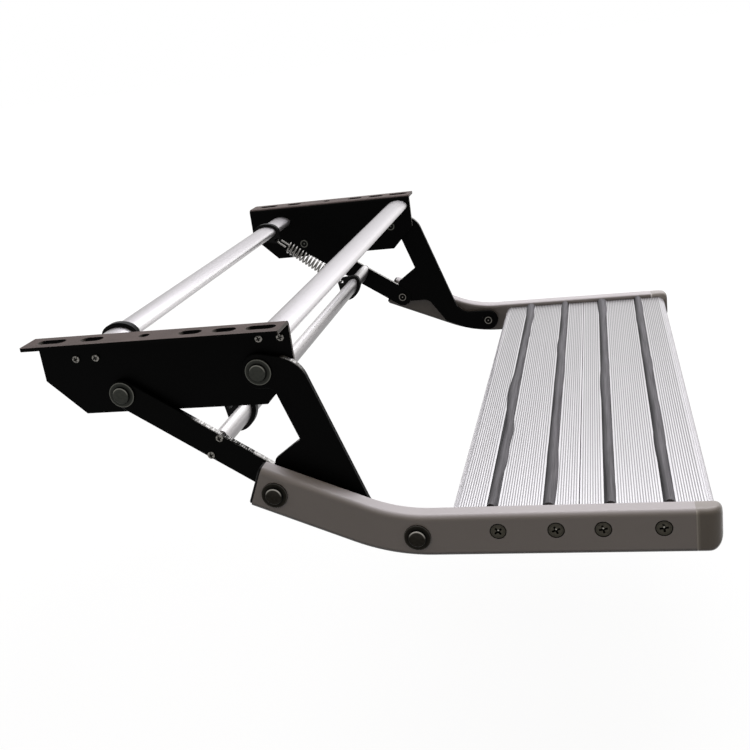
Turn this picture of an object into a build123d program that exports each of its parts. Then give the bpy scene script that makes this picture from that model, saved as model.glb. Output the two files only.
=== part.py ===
from build123d import *
import os
from math import asin, atan2, cos, degrees, hypot, radians, sin, sqrt, tan

os.makedirs("parts", exist_ok=True)

# Folding entry step for a caravan door. Two bent side plates with cross tubes bolt under the floor.
# A rear link and a front arm on each side carry a two-plank tread and swing it out, or back under.
# X points outward from the door, Y to the left when facing out, Z up. The origin lies on the top of
# the plate flanges, midway between the four long corner slots. Sizes are in millimetres.

# Side plates
PLATE_SPAN = 550.0
PLATE_THICK = 3.0
PLATE_LENGTH = 214.0
PLATE_DROP = 67.0
REAR_CHAMFER = 30.0
FRONT_CHAMFER = 27.0
FLANGE_WIDTH = 29.5
BEND_RADIUS = 1.5
FLANGE_CORNER = 2.0

# Flange slots and holes
SLOT_FROM_PLATE = 13.5
SLOT_WIDTH = 10.5
CORNER_SLOT_LENGTH = 24.0
CORNER_SLOT_REAR_INSET = 22.0
CORNER_SLOT_FRONT_INSET = 17.0
INNER_SLOT_LENGTH = 19.0
INNER_SLOT_REAR_INSET = 57.0
INNER_SLOT_FRONT_INSET = 46.5
MIDDLE_SLOT_LENGTH = 18.5
MIDDLE_SLOT_FRONT_INSET = 74.2
ROUND_HOLE_REAR_INSET = 101.5
ROUND_HOLE_DIAMETER = 8.6

# Linkage points; the plate pivots are set in from the plate's rear and front edges
REAR_PIVOT_INSET = 68.0
REAR_PIVOT_Z = -50.0
FRONT_PIVOT_INSET = 27.9
FRONT_PIVOT_Z = -37.7
LINK_LENGTH = 147.15
LINK_SLOPE = 34.48
RAIL_PIVOT_RUN = 109.5
RAIL_PIVOT_FALL = 39.6

# Cross tubes and their screws
TUBE_WIDTH = 26.0
TUBE_HEIGHT = 14.2
TUBE_WALL = 1.8
REAR_TUBE_INSET = 40.2
REAR_TUBE_Z = -19.5
FRONT_TUBE_INSET = 16.5
FRONT_TUBE_Z = -12.8
SCREW_PORT_INSET = 4.3
SCREW_PORT_DIAMETER = 6.2
LINK_TUBE_ALONG = 86.0
SMALL_SCREW_DIAMETER = 2.8
SMALL_SCREW_LENGTH = 12.0
SMALL_HEAD_DIAMETER = 6.4
SMALL_HEAD_HEIGHT = 1.9
SMALL_HEAD_BEVEL = 0.9
PLATE_HOLE_CLEARANCE = 0.2
PORT_CLEARANCE = 0.05

# Links, arms and pivots
LINK_THICK = 5.0
LINK_HEIGHT = 23.0
SIDE_WASHER_THICK = 0.8
SIDE_CLEARANCE = 0.2
PIN_DIAMETER = 10.0
PIN_CLEARANCE = 0.06
FIXED_CLEARANCE = 0.02
WASHER_DIAMETER = 19.0
HEAD_DIAMETER = 21.2
HEAD_THICK = 1.6
HEAD_BEVEL = 0.64
HEAD_CAP_DIAMETER = 12.4
HEAD_CAP_HEIGHT = 2.2
HEAD_CAP_BEVEL = 1.0
TAIL_DIAMETER = 11.6
TAIL_HEIGHT = 1.6
TAIL_DIMPLE_DIAMETER = 5.0
TAIL_DIMPLE_DEPTH = 0.6
EDGE_BREAK = 0.5
OPEN_PIN_GAP = 0.3
LOBE_RADIUS = 14.4
SHOULDER_FORWARD = 32.7
SHOULDER_RISE = 7.8
SHOULDER_RADIUS = 24.0
LEG_WIDTH = 29.0
LEG_BLEND = 8.0
FOOT_RADIUS = 12.2
FOOT_LENGTH = 36.2
ANKLE_RADIUS = 18.0
SOLE_LENGTH = 21.0
SOLE_RADIUS = 80.0
HEEL_BACK = 54.8
HEEL_RISE = 2.3
HEEL_RADIUS = 4.0
SCOOP_FORWARD = 34.2
SCOOP_DROP = 6.2
SCOOP_RADIUS = 10.0
NOSE_BACK = 13.8
NOSE_HEIGHT = 17.0
NOSE_SLOPE = 35.0
NOTCH_RADIUS = 1.2
STOP_GAP = 0.35

# Side rails and their ends
RAIL_GAP = 2.5
RAIL_WIDTH = 18.0
RAIL_HEIGHT = 35.0
RAIL_WALL = 2.0
RAIL_EDGE = 4.6
RAIL_SLOPE = 23.4
RAIL_BEND_RADIUS = 140.0
RAIL_TAIL = 16.0
PLUG_THICK = 2.2
PLUG_INSET = 1.2
PLUG_BEVEL = 0.55
PLUG_DEPTH = 7.0
PLUG_CLEARANCE = 0.1
CAP_LENGTH = 19.4
CAP_CORNER = 12.0
CAP_TOP_RADIUS = 6.0
CAP_BOTTOM_RADIUS = 9.5

# Tread planks, grip strips and screws
TREAD_JOINT_AHEAD = 122.7
PLANK_WIDTH = 99.0
PLANK_THICK = 25.0
PLANK_SET_DOWN = 5.0
PLANK_WALL = 2.2
PLANK_NOSE_RADIUS = 8.0
PLANK_UNDER_RADIUS = 2.5
PLANK_JOINT_RADIUS = 0.8
PLANK_END_GAP = 0.2
JOINT_GAP = 0.4
CAP_OVERHANG = 3.4
RIB_PITCH = 2.0
GROOVE_WIDTH = 0.9
GROOVE_DEPTH = 0.6
STRIP_INNER = 23.0
STRIP_OUTER = 66.2
STRIP_SLOT_WIDTH = 9.1
STRIP_SLOT_DEPTH = 2.4
STRIP_SIDE_GAP = 0.3
STRIP_PROUD = 1.2
STRIP_END_SHORT = 2.5
TREAD_SCREW_BESIDE = 5.8
TREAD_SCREW_DOWN = 13.8
TREAD_SCREW_DIAMETER = 6.0
TREAD_SCREW_LENGTH = 42.0
TREAD_HEAD_DIAMETER = 12.6
TREAD_HEAD_DEPTH = 3.2
TREAD_PORT_DIAMETER = 10.0
RECESS_SPAN = 5.4
RECESS_WIDTH = 1.3
RECESS_DEPTH = 1.6
RECESS_TURN = 30.0

# Springs and their clips
SPRING_PLATE_INSET = 65.0
CLIP_WIDTH = 6.0
CLIP_WALL = 3.6
CLIP_CLEARANCE = 0.06
LUG_REACH = 7.0
LUG_RADIUS = 4.5
LUG_HOLE_DIAMETER = 5.4
WIRE_DIAMETER = 2.0
COIL_DIAMETER = 13.0
COIL_TURNS = 14
WIRE_FACE_COUNT = 6
COIL_LEAD = 0.03
WIRE_JOINT_SWELL = 1.06
HOOK_LENGTH = 16.0

# Values that follow from the sizes above
PLATE_OUT = PLATE_SPAN / 2
PLATE_IN = PLATE_OUT - PLATE_THICK
CORNER_SLOT_SPACING = PLATE_LENGTH - CORNER_SLOT_REAR_INSET - CORNER_SLOT_FRONT_INSET
PLATE_FRONT_X = CORNER_SLOT_SPACING / 2 + CORNER_SLOT_FRONT_INSET
PLATE_REAR_X = PLATE_FRONT_X - PLATE_LENGTH
SLOT_LINE = PLATE_OUT + SLOT_FROM_PLATE
SPRING_LINE = PLATE_OUT - SPRING_PLATE_INSET
LINK_IN = PLATE_OUT + SIDE_WASHER_THICK + SIDE_CLEARANCE
LINK_OUT = LINK_IN + LINK_THICK
RAIL_IN = LINK_OUT + RAIL_GAP
RAIL_OUT = RAIL_IN + RAIL_WIDTH
PIN_RADIUS = PIN_DIAMETER / 2

REAR_PIVOT = Vector(PLATE_REAR_X + REAR_PIVOT_INSET, REAR_PIVOT_Z)
FRONT_PIVOT = Vector(PLATE_FRONT_X - FRONT_PIVOT_INSET, FRONT_PIVOT_Z)
LINK_DIRECTION = Vector(cos(radians(LINK_SLOPE)), -sin(radians(LINK_SLOPE)))
LINK_NORMAL = Vector(sin(radians(LINK_SLOPE)), cos(radians(LINK_SLOPE)))
RAIL_REAR_PIVOT = REAR_PIVOT + LINK_DIRECTION * LINK_LENGTH
RAIL_FRONT_PIVOT = RAIL_REAR_PIVOT + Vector(RAIL_PIVOT_RUN, -RAIL_PIVOT_FALL)
REAR_TUBE = Vector(PLATE_REAR_X + REAR_TUBE_INSET, REAR_TUBE_Z)
FRONT_TUBE = Vector(PLATE_FRONT_X - FRONT_TUBE_INSET, FRONT_TUBE_Z)
LINK_TUBE = REAR_PIVOT + LINK_DIRECTION * LINK_TUBE_ALONG
SCREW_PORT_OFFSET = TUBE_WIDTH / 2 - SCREW_PORT_INSET

TREAD_JOINT_X = RAIL_FRONT_PIVOT.X + TREAD_JOINT_AHEAD
RAIL_AXIS_Z = RAIL_FRONT_PIVOT.Y
RAIL_TOP_Z = RAIL_AXIS_Z + RAIL_HEIGHT / 2
PLANK_TOP_Z = RAIL_TOP_Z - PLANK_SET_DOWN
CAP_FRONT_X = TREAD_JOINT_X + PLANK_WIDTH + CAP_OVERHANG
RAIL_FRONT_X = CAP_FRONT_X - CAP_LENGTH
TREAD_SCREW_Z = RAIL_TOP_Z - TREAD_SCREW_DOWN
STRIP_CENTRES = [STRIP_INNER, STRIP_OUTER]
SCREW_CENTRES = [centre - TREAD_SCREW_BESIDE for centre in STRIP_CENTRES]


# Helpers for pieces drawn in side view
def side_plane(y):
    """Sketch plane seen from the right: local x is X, local y is Z, extrusion runs to -Y."""
    return Plane(origin=(0, y, 0), x_dir=(1, 0, 0), z_dir=(0, -1, 0))


def slab(outline, y_low, y_high):
    """A side-view outline made solid between two Y values."""
    return extrude(side_plane(y_high) * outline, amount=y_high - y_low)


def rod(point, radius, y_low, y_high):
    """A cylinder along Y through a side-view point."""
    return slab(Pos(point.X, point.Y) * Circle(radius), y_low, y_high)


def turned(point, profile):
    """A piece turned about a Y axis, from a list of (radius, y) corners."""
    face = make_face(Polyline(*profile, close=True))
    return Pos(point.X, 0, point.Y) * revolve(face, Axis.Y)


def ring(point, inner_radius, outer_radius, y_low, y_high):
    """A flat washer or sleeve along Y."""
    section = Circle(outer_radius) - Circle(inner_radius)
    return slab(Pos(point.X, point.Y) * section, y_low, y_high)


def nearest(outline, point):
    """The corner of an outline closest to a point."""
    return outline.vertices().sort_by(lambda v: hypot(v.X - point.X, v.Y - point.Y))[0]


def rounded(outline, point, radius):
    """The outline with the corner nearest a point rounded."""
    return fillet(nearest(outline, point), radius)


def broken_edges(solid, y_face):
    """The solid with the rim of its face at a Y value chamfered."""
    rims = [e for e in solid.edges() if all(abs(v.Y - y_face) < 0.001 for v in e.vertices())]
    return chamfer(rims, EDGE_BREAK)


def cross_cut(span, width, depth):
    """The cross recess of a screw, cut from Z zero downward."""
    bar = Pos(0, 0, -depth / 2) * Box(span, width, depth)
    return bar + Rot(0, 0, 90) * bar


def save(name, shape):
    """Writes one node, named after itself."""
    shape.label = name
    export_step(shape, f"parts/{name}.step")


def save_pair(name, left_shape):
    """Writes a left piece and its mirrored right twin."""
    save(f"{name}_left", left_shape)
    save(f"{name}_right", mirror(left_shape, about=Plane.XZ))


# Side plate with outward flange, slots, pivot holes and screw holes
fold_profile = make_face(
    Polyline(
        (PLATE_IN, 0),
        (PLATE_OUT - PLATE_THICK + FLANGE_WIDTH, 0),
        (PLATE_OUT - PLATE_THICK + FLANGE_WIDTH, -PLATE_THICK),
        (PLATE_OUT, -PLATE_THICK),
        (PLATE_OUT, -PLATE_DROP),
        (PLATE_IN, -PLATE_DROP),
        close=True,
    )
)
fold_profile = rounded(fold_profile, Vector(PLATE_IN, 0), BEND_RADIUS + PLATE_THICK)
fold_profile = rounded(fold_profile, Vector(PLATE_OUT, -PLATE_THICK), BEND_RADIUS)
rear_edge_plane = Plane(origin=(PLATE_REAR_X, 0, 0), x_dir=(0, 1, 0), z_dir=(1, 0, 0))
folded_sheet = extrude(rear_edge_plane * fold_profile, PLATE_LENGTH)
plate_outline = make_face(
    Polyline(
        (PLATE_REAR_X, 0),
        (PLATE_FRONT_X, 0),
        (PLATE_FRONT_X, -PLATE_DROP + FRONT_CHAMFER),
        (PLATE_FRONT_X - FRONT_CHAMFER, -PLATE_DROP),
        (PLATE_REAR_X + REAR_CHAMFER, -PLATE_DROP),
        (PLATE_REAR_X, -PLATE_DROP + REAR_CHAMFER),
        close=True,
    )
)
side_plate = folded_sheet & slab(plate_outline, PLATE_IN - 1, PLATE_IN + FLANGE_WIDTH + 1)
flange_corners = side_plate.edges().filter_by(Axis.Z).group_by(Axis.Y)[-1]
side_plate = fillet(flange_corners, FLANGE_CORNER)
flange_slots = [
    (-CORNER_SLOT_SPACING / 2, CORNER_SLOT_LENGTH),
    (CORNER_SLOT_SPACING / 2, CORNER_SLOT_LENGTH),
    (PLATE_REAR_X + INNER_SLOT_REAR_INSET, INNER_SLOT_LENGTH),
    (PLATE_FRONT_X - INNER_SLOT_FRONT_INSET, INNER_SLOT_LENGTH),
    (PLATE_FRONT_X - MIDDLE_SLOT_FRONT_INSET, MIDDLE_SLOT_LENGTH),
]
flange_cuts = [Pos(x, SLOT_LINE) * SlotOverall(length, SLOT_WIDTH) for x, length in flange_slots]
round_hole_x = PLATE_REAR_X + ROUND_HOLE_REAR_INSET
flange_cuts.append(Pos(round_hole_x, SLOT_LINE) * Circle(ROUND_HOLE_DIAMETER / 2))
for cut in flange_cuts:
    side_plate -= extrude(cut, PLATE_THICK * 2, both=True)
for pivot in (REAR_PIVOT, FRONT_PIVOT):
    side_plate -= rod(pivot, PIN_RADIUS + FIXED_CLEARANCE, PLATE_IN - 1, PLATE_OUT + 1)
tube_screw_points = [
    tube + Vector(side * SCREW_PORT_OFFSET, 0) for tube in (REAR_TUBE, FRONT_TUBE) for side in (-1, 1)
]
screw_hole_radius = SMALL_SCREW_DIAMETER / 2 + PLATE_HOLE_CLEARANCE
for point in tube_screw_points:
    side_plate -= rod(point, screw_hole_radius, PLATE_IN - 1, PLATE_OUT + 1)
save_pair("side_plate", side_plate)


# Cross tubes, one oval extrusion with a screw port at each side of its section
def tube_oval(extra):
    """The oval of the cross tubes, grown or shrunk all round."""
    return Ellipse(TUBE_WIDTH / 2 + extra, TUBE_HEIGHT / 2 + extra)


tube_section = tube_oval(0) - tube_oval(-TUBE_WALL)
for side in (-1, 1):
    port = Pos(side * SCREW_PORT_OFFSET, 0)
    tube_section += port * Circle(SCREW_PORT_DIAMETER / 2)
    tube_section -= port * Circle(SMALL_SCREW_DIAMETER / 2 + PORT_CLEARANCE)
for name, point in (("rear_cross_tube", REAR_TUBE), ("front_cross_tube", FRONT_TUBE)):
    save(name, slab(Pos(point.X, point.Y) * tube_section, -PLATE_IN, PLATE_IN))


# Pan head screw with its head seated on a Y face, pointing inward
def pan_screw(point, y_face, length):
    shank = SMALL_SCREW_DIAMETER / 2
    head = SMALL_HEAD_DIAMETER / 2
    profile = [
        (0, y_face - length),
        (shank, y_face - length),
        (shank, y_face),
        (head, y_face),
        (head, y_face + SMALL_HEAD_HEIGHT - SMALL_HEAD_BEVEL),
        (head - SMALL_HEAD_BEVEL, y_face + SMALL_HEAD_HEIGHT),
        (0, y_face + SMALL_HEAD_HEIGHT),
    ]
    return turned(point, profile)


plate_screws = [pan_screw(p, PLATE_OUT, SMALL_SCREW_LENGTH) for p in tube_screw_points]
save_pair("plate_screws", Compound(plate_screws))


# Riveted pivot with a flanged head outside and a rolled tail inside
def rivet_tail(y_tail):
    tail = TAIL_DIAMETER / 2
    dimple = TAIL_DIMPLE_DIAMETER / 2
    return [
        (0, y_tail - TAIL_HEIGHT + TAIL_DIMPLE_DEPTH),
        (dimple, y_tail - TAIL_HEIGHT + TAIL_DIMPLE_DEPTH),
        (dimple + TAIL_DIMPLE_DEPTH, y_tail - TAIL_HEIGHT),
        (tail - TAIL_DIMPLE_DEPTH, y_tail - TAIL_HEIGHT),
        (tail, y_tail - TAIL_HEIGHT + TAIL_DIMPLE_DEPTH),
        (tail, y_tail),
        (PIN_RADIUS, y_tail),
    ]


def rivet_head(y_head):
    head = HEAD_DIAMETER / 2
    cap = HEAD_CAP_DIAMETER / 2
    y_cap = y_head + HEAD_THICK + HEAD_CAP_HEIGHT
    return [
        (PIN_RADIUS, y_head),
        (head, y_head),
        (head, y_head + HEAD_THICK - HEAD_BEVEL),
        (head - HEAD_BEVEL, y_head + HEAD_THICK),
        (cap, y_head + HEAD_THICK),
        (cap, y_cap - HEAD_CAP_BEVEL),
        (cap - HEAD_CAP_BEVEL, y_cap),
        (0, y_cap),
    ]


def pivot_rivet(point, y_tail, y_head):
    return turned(point, rivet_tail(y_tail) + rivet_head(y_head))


save_pair("rear_link_pivot", pivot_rivet(REAR_PIVOT, PLATE_IN, LINK_OUT + SIDE_CLEARANCE))
save_pair("front_arm_pivot", pivot_rivet(FRONT_PIVOT, PLATE_IN, LINK_OUT + SIDE_CLEARANCE))
for name, point in (("rear_link_washer", REAR_PIVOT), ("front_arm_washer", FRONT_PIVOT)):
    washer_top = PLATE_OUT + SIDE_WASHER_THICK
    washer = ring(point, PIN_RADIUS + PIN_CLEARANCE, WASHER_DIAMETER / 2, PLATE_OUT, washer_top)
    save_pair(name, washer)


# Rear link, a round-ended bar from the rear pivot to the rail
def link_shape(extra):
    middle = (REAR_PIVOT + RAIL_REAR_PIVOT) * 0.5
    bar = SlotCenterToCenter(LINK_LENGTH, LINK_HEIGHT + 2 * extra)
    return Pos(middle.X, middle.Y) * Rot(0, 0, -LINK_SLOPE) * bar


link_screw_points = [LINK_TUBE + LINK_NORMAL * (side * SCREW_PORT_OFFSET) for side in (-1, 1)]
rear_link = broken_edges(slab(link_shape(0), LINK_IN, LINK_OUT), LINK_OUT)
for pivot in (REAR_PIVOT, RAIL_REAR_PIVOT):
    rear_link -= rod(pivot, PIN_RADIUS + PIN_CLEARANCE, LINK_IN - 1, LINK_OUT + 1)
for point in link_screw_points:
    rear_link -= rod(point, screw_hole_radius, LINK_IN - 1, LINK_OUT + 1)
save_pair("rear_link", rear_link)

# Link tube, the same oval extrusion set across the links and screwed to both
link_tube_turn = 90 - LINK_SLOPE
link_tube_place = Pos(LINK_TUBE.X, LINK_TUBE.Y) * Rot(0, 0, link_tube_turn)
save("link_tube", slab(link_tube_place * tube_section, -LINK_IN, LINK_IN))
link_screws = [pan_screw(p, LINK_OUT, SMALL_SCREW_LENGTH) for p in link_screw_points]
save_pair("link_screws", Compound(link_screws))


# Front arm, a goose-neck plate from the front pivot to the rail, with a nose that stops on the link
def crossing(p, d, q, e):
    """Where the line from p along d meets the line from q along e."""
    t = ((q.X - p.X) * e.Y - (q.Y - p.Y) * e.X) / (d.X * e.Y - d.Y * e.X)
    return p + d * t


shoulder = FRONT_PIVOT + Vector(SHOULDER_FORWARD, SHOULDER_RISE)
ankle = RAIL_FRONT_PIVOT + Vector(-FOOT_LENGTH, FOOT_RADIUS)
leg_direction = (ankle - shoulder).normalized()
leg_back_base = shoulder + Vector(leg_direction.Y, -leg_direction.X) * LEG_WIDTH
base_to_pivot = leg_back_base - FRONT_PIVOT
half_b = base_to_pivot.dot(leg_direction)
reach = sqrt(half_b * half_b - base_to_pivot.dot(base_to_pivot) + LOBE_RADIUS * LOBE_RADIUS)
leg_root = leg_back_base + leg_direction * (reach - half_b)
pivot_to_shoulder = shoulder - FRONT_PIVOT
shoulder_angle = degrees(atan2(pivot_to_shoulder.Y, pivot_to_shoulder.X))
touch_angle = radians(shoulder_angle + 90 - degrees(asin(LOBE_RADIUS / pivot_to_shoulder.length)))
lobe_touch = FRONT_PIVOT + Vector(cos(touch_angle), sin(touch_angle)) * LOBE_RADIUS
lobe_back = FRONT_PIVOT + Vector(-LOBE_RADIUS, 0)
foot_top = RAIL_FRONT_PIVOT + Vector(0, FOOT_RADIUS)
foot_tip = RAIL_FRONT_PIVOT + Vector(FOOT_RADIUS, 0)
foot_bottom = RAIL_FRONT_PIVOT + Vector(0, -FOOT_RADIUS)
sole = RAIL_FRONT_PIVOT + Vector(-SOLE_LENGTH, -FOOT_RADIUS)
heel = RAIL_FRONT_PIVOT + Vector(-HEEL_BACK, HEEL_RISE)
scoop = RAIL_REAR_PIVOT + Vector(SCOOP_FORWARD, -SCOOP_DROP)
link_end = RAIL_REAR_PIVOT + Vector(SCOOP_DROP / 2, -SCOOP_DROP)
nose_root = RAIL_REAR_PIVOT - LINK_DIRECTION * (NOSE_BACK * 0.8) + LINK_NORMAL * (LINK_HEIGHT / 4)
nose = RAIL_REAR_PIVOT - LINK_DIRECTION * NOSE_BACK + LINK_NORMAL * NOSE_HEIGHT
nose_direction = Vector(cos(radians(NOSE_SLOPE)), sin(radians(NOSE_SLOPE)))
notch = crossing(nose, nose_direction, leg_back_base, leg_direction)
arm_shape = make_face(
    [
        Line(lobe_touch, shoulder),
        Line(shoulder, ankle),
        Line(ankle, foot_top),
        ThreePointArc(foot_top, foot_tip, foot_bottom),
        Line(foot_bottom, sole),
        Line(sole, heel),
        Line(heel, scoop),
        Line(scoop, link_end),
        Line(link_end, nose_root),
        Line(nose_root, nose),
        Line(nose, notch),
        Line(notch, leg_root),
        ThreePointArc(leg_root, lobe_back, lobe_touch),
    ]
)
for corner, radius in (
    (shoulder, SHOULDER_RADIUS),
    (ankle, ANKLE_RADIUS),
    (sole, SOLE_RADIUS),
    (heel, HEEL_RADIUS),
    (scoop, SCOOP_RADIUS),
    (nose, NOTCH_RADIUS),
    (notch, NOTCH_RADIUS),
    (leg_root, LEG_BLEND),
):
    arm_shape = rounded(arm_shape, corner, radius)
arm_shape -= link_shape(STOP_GAP)
front_arm = broken_edges(slab(arm_shape, LINK_IN, LINK_OUT), LINK_OUT)
front_arm -= rod(FRONT_PIVOT, PIN_RADIUS + PIN_CLEARANCE, LINK_IN - 1, LINK_OUT + 1)
front_arm -= rod(RAIL_FRONT_PIVOT, PIN_RADIUS + FIXED_CLEARANCE, LINK_IN - 1, LINK_OUT + 1)
save_pair("front_arm", front_arm)
stub_profile = rivet_tail(LINK_IN) + [(PIN_RADIUS, LINK_OUT), (0, LINK_OUT)]
save_pair("arm_foot_pin", turned(RAIL_FRONT_PIVOT, stub_profile))

# Side rail, a box tube bent once, with pivot holes and countersunk screw holes
slope_direction = Vector(cos(radians(RAIL_SLOPE)), -sin(radians(RAIL_SLOPE)))
rail_start = RAIL_REAR_PIVOT - slope_direction * RAIL_TAIL
bend_x = RAIL_REAR_PIVOT.X + RAIL_PIVOT_FALL / tan(radians(RAIL_SLOPE))
rail_y = (RAIL_IN + RAIL_OUT) / 2
rail_path = FilletPolyline(
    (rail_start.X, rail_y, rail_start.Y),
    (bend_x, rail_y, RAIL_AXIS_Z),
    (RAIL_FRONT_X, rail_y, RAIL_AXIS_Z),
    radius=RAIL_BEND_RADIUS,
)
rail_end_plane = Plane(
    origin=(rail_start.X, rail_y, rail_start.Y),
    x_dir=(0, 1, 0),
    z_dir=(slope_direction.X, 0, slope_direction.Y),
)
rail_outer = RectangleRounded(RAIL_WIDTH, RAIL_HEIGHT, RAIL_EDGE)
bore_edge = RAIL_EDGE - RAIL_WALL
rail_inner = RectangleRounded(RAIL_WIDTH - 2 * RAIL_WALL, RAIL_HEIGHT - 2 * RAIL_WALL, bore_edge)
side_rail = sweep(rail_end_plane * rail_outer, path=rail_path)
side_rail -= sweep(rail_end_plane * rail_inner, path=rail_path)
for pivot in (RAIL_REAR_PIVOT, RAIL_FRONT_PIVOT):
    side_rail -= rod(pivot, PIN_RADIUS + FIXED_CLEARANCE, RAIL_IN - 1, RAIL_OUT + 1)


def tread_screw_profile(extra):
    shank = TREAD_SCREW_DIAMETER / 2 + extra
    head = TREAD_HEAD_DIAMETER / 2 + extra
    return [
        (0, RAIL_OUT - TREAD_SCREW_LENGTH),
        (shank, RAIL_OUT - TREAD_SCREW_LENGTH),
        (shank, RAIL_OUT - TREAD_HEAD_DEPTH),
        (head, RAIL_OUT),
        (0, RAIL_OUT),
    ]


tread_screw_points = [
    Vector(TREAD_JOINT_X + side * centre, TREAD_SCREW_Z) for centre in SCREW_CENTRES for side in (-1, 1)
]
for point in tread_screw_points:
    side_rail -= turned(point, tread_screw_profile(PORT_CLEARANCE))
save_pair("side_rail", side_rail)

# Countersunk cross screws through the rails into the planks
tread_screws = []
for point in tread_screw_points:
    top = Plane(origin=(point.X, RAIL_OUT, point.Y), x_dir=(1, 0, 0), z_dir=(0, 1, 0))
    tread_screws.append(
        turned(point, tread_screw_profile(0))
        - top * Rot(0, 0, RECESS_TURN) * cross_cut(RECESS_SPAN, RECESS_WIDTH, RECESS_DEPTH)
    )
save_pair("tread_screws", Compound(tread_screws))

# Plastic plug in the rail's upper end
plug_lip = RectangleRounded(
    RAIL_WIDTH - 2 * PLUG_INSET, RAIL_HEIGHT - 2 * PLUG_INSET, RAIL_EDGE - PLUG_INSET
)
plug = extrude(rail_end_plane * plug_lip, -PLUG_THICK)
plug = chamfer(plug.faces().sort_by(rail_end_plane.location.z_axis)[0].edges(), PLUG_BEVEL)
plug_inset = 2 * (RAIL_WALL + PLUG_CLEARANCE)
plug_core = RectangleRounded(RAIL_WIDTH - plug_inset, RAIL_HEIGHT - plug_inset, bore_edge)
plug += extrude(rail_end_plane * plug_core, PLUG_DEPTH)
save_pair("rail_end_plug", plug)

# Moulded cap on the rail's front end, round at its outer corner
cap_side = make_face(
    Polyline(
        (RAIL_FRONT_X, RAIL_AXIS_Z - RAIL_HEIGHT / 2),
        (CAP_FRONT_X, RAIL_AXIS_Z - RAIL_HEIGHT / 2),
        (CAP_FRONT_X, RAIL_TOP_Z),
        (RAIL_FRONT_X, RAIL_TOP_Z),
        close=True,
    )
)
cap_side = rounded(cap_side, Vector(CAP_FRONT_X, RAIL_TOP_Z), CAP_TOP_RADIUS)
cap_side = rounded(cap_side, Vector(CAP_FRONT_X, RAIL_AXIS_Z - RAIL_HEIGHT / 2), CAP_BOTTOM_RADIUS)
cap_plan = make_face(
    Polyline(
        (RAIL_FRONT_X, RAIL_IN),
        (CAP_FRONT_X, RAIL_IN),
        (CAP_FRONT_X, RAIL_OUT),
        (RAIL_FRONT_X, RAIL_OUT),
        close=True,
    )
)
cap_plan = rounded(cap_plan, Vector(CAP_FRONT_X, RAIL_OUT), CAP_CORNER)
cap_block = extrude(Pos(0, 0, RAIL_AXIS_Z) * cap_plan, RAIL_HEIGHT, both=True)
end_cap = slab(cap_side, RAIL_IN, RAIL_OUT) & cap_block
cap_section = Plane(
    origin=(RAIL_FRONT_X, rail_y, RAIL_AXIS_Z), x_dir=(0, 1, 0), z_dir=(1, 0, 0)
)
end_cap &= extrude(cap_section * rail_outer, CAP_LENGTH + 1)
end_cap += extrude(cap_section * plug_core, -PLUG_DEPTH)
save_pair("rail_end_cap", end_cap)

# Pivots between the rails and the linkage, with spacers; the front one meets the arm's own pin
save_pair("rail_rear_pivot", pivot_rivet(RAIL_REAR_PIVOT, LINK_IN - SIDE_CLEARANCE, RAIL_OUT))
open_end = LINK_OUT + OPEN_PIN_GAP
rail_front_profile = [(0, open_end), (PIN_RADIUS, open_end)] + rivet_head(RAIL_OUT)
save_pair("rail_front_pivot", turned(RAIL_FRONT_PIVOT, rail_front_profile))
for name, point in (("rear_pivot_spacer", RAIL_REAR_PIVOT), ("front_pivot_spacer", RAIL_FRONT_PIVOT)):
    spacer_low = LINK_OUT + SIDE_CLEARANCE
    spacer = ring(point, PIN_RADIUS + FIXED_CLEARANCE, WASHER_DIAMETER / 2, spacer_low, RAIL_IN)
    save_pair(name, spacer)

# Tread planks, hollow ribbed extrusions drawn outward from the middle joint
plank_end = RAIL_IN - PLANK_END_GAP


def block(u_low, u_high, z_low, z_high):
    """A rectangle in the plank section, by its limits."""
    return Pos((u_low + u_high) / 2, (z_low + z_high) / 2) * Rectangle(u_high - u_low, z_high - z_low)


plank_section = block(JOINT_GAP / 2, PLANK_WIDTH, -PLANK_THICK, 0)
for corner, radius in (
    (Vector(PLANK_WIDTH, 0), PLANK_NOSE_RADIUS),
    (Vector(PLANK_WIDTH, -PLANK_THICK), PLANK_UNDER_RADIUS),
    (Vector(JOINT_GAP / 2, 0), PLANK_JOINT_RADIUS),
):
    plank_section = rounded(plank_section, corner, radius)
cell_edges = [JOINT_GAP / 2, STRIP_INNER, STRIP_OUTER, PLANK_WIDTH]
for u_low, u_high in zip(cell_edges, cell_edges[1:]):
    low_wall = PLANK_WALL if u_low == cell_edges[0] else PLANK_WALL / 2
    high_wall = PLANK_WALL if u_high == cell_edges[-1] else PLANK_WALL / 2
    cell = block(u_low + low_wall, u_high - high_wall, -PLANK_THICK + PLANK_WALL, -PLANK_WALL)
    if u_high == PLANK_WIDTH:
        cell = rounded(cell, Vector(u_high, 0), PLANK_NOSE_RADIUS - PLANK_WALL)
    plank_section -= cell
slot_half = STRIP_SLOT_WIDTH / 2
for strip, screw in zip(STRIP_CENTRES, SCREW_CENTRES):
    floor = -STRIP_SLOT_DEPTH - PLANK_WALL
    cup_half = slot_half + PLANK_WALL
    plank_section += block(strip - cup_half, strip + cup_half, floor, -PLANK_WALL / 2)
    screw_z = PLANK_SET_DOWN - TREAD_SCREW_DOWN
    plank_section += Pos(screw, screw_z) * Circle(TREAD_PORT_DIAMETER / 2)
    plank_section += block(screw - PLANK_WALL, strip, screw_z, -PLANK_WALL / 2)
    plank_section -= Pos(screw, screw_z) * Circle(TREAD_SCREW_DIAMETER / 2 + PORT_CLEARANCE)
    plank_section -= block(strip - slot_half, strip + slot_half, -STRIP_SLOT_DEPTH, 1)
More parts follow.
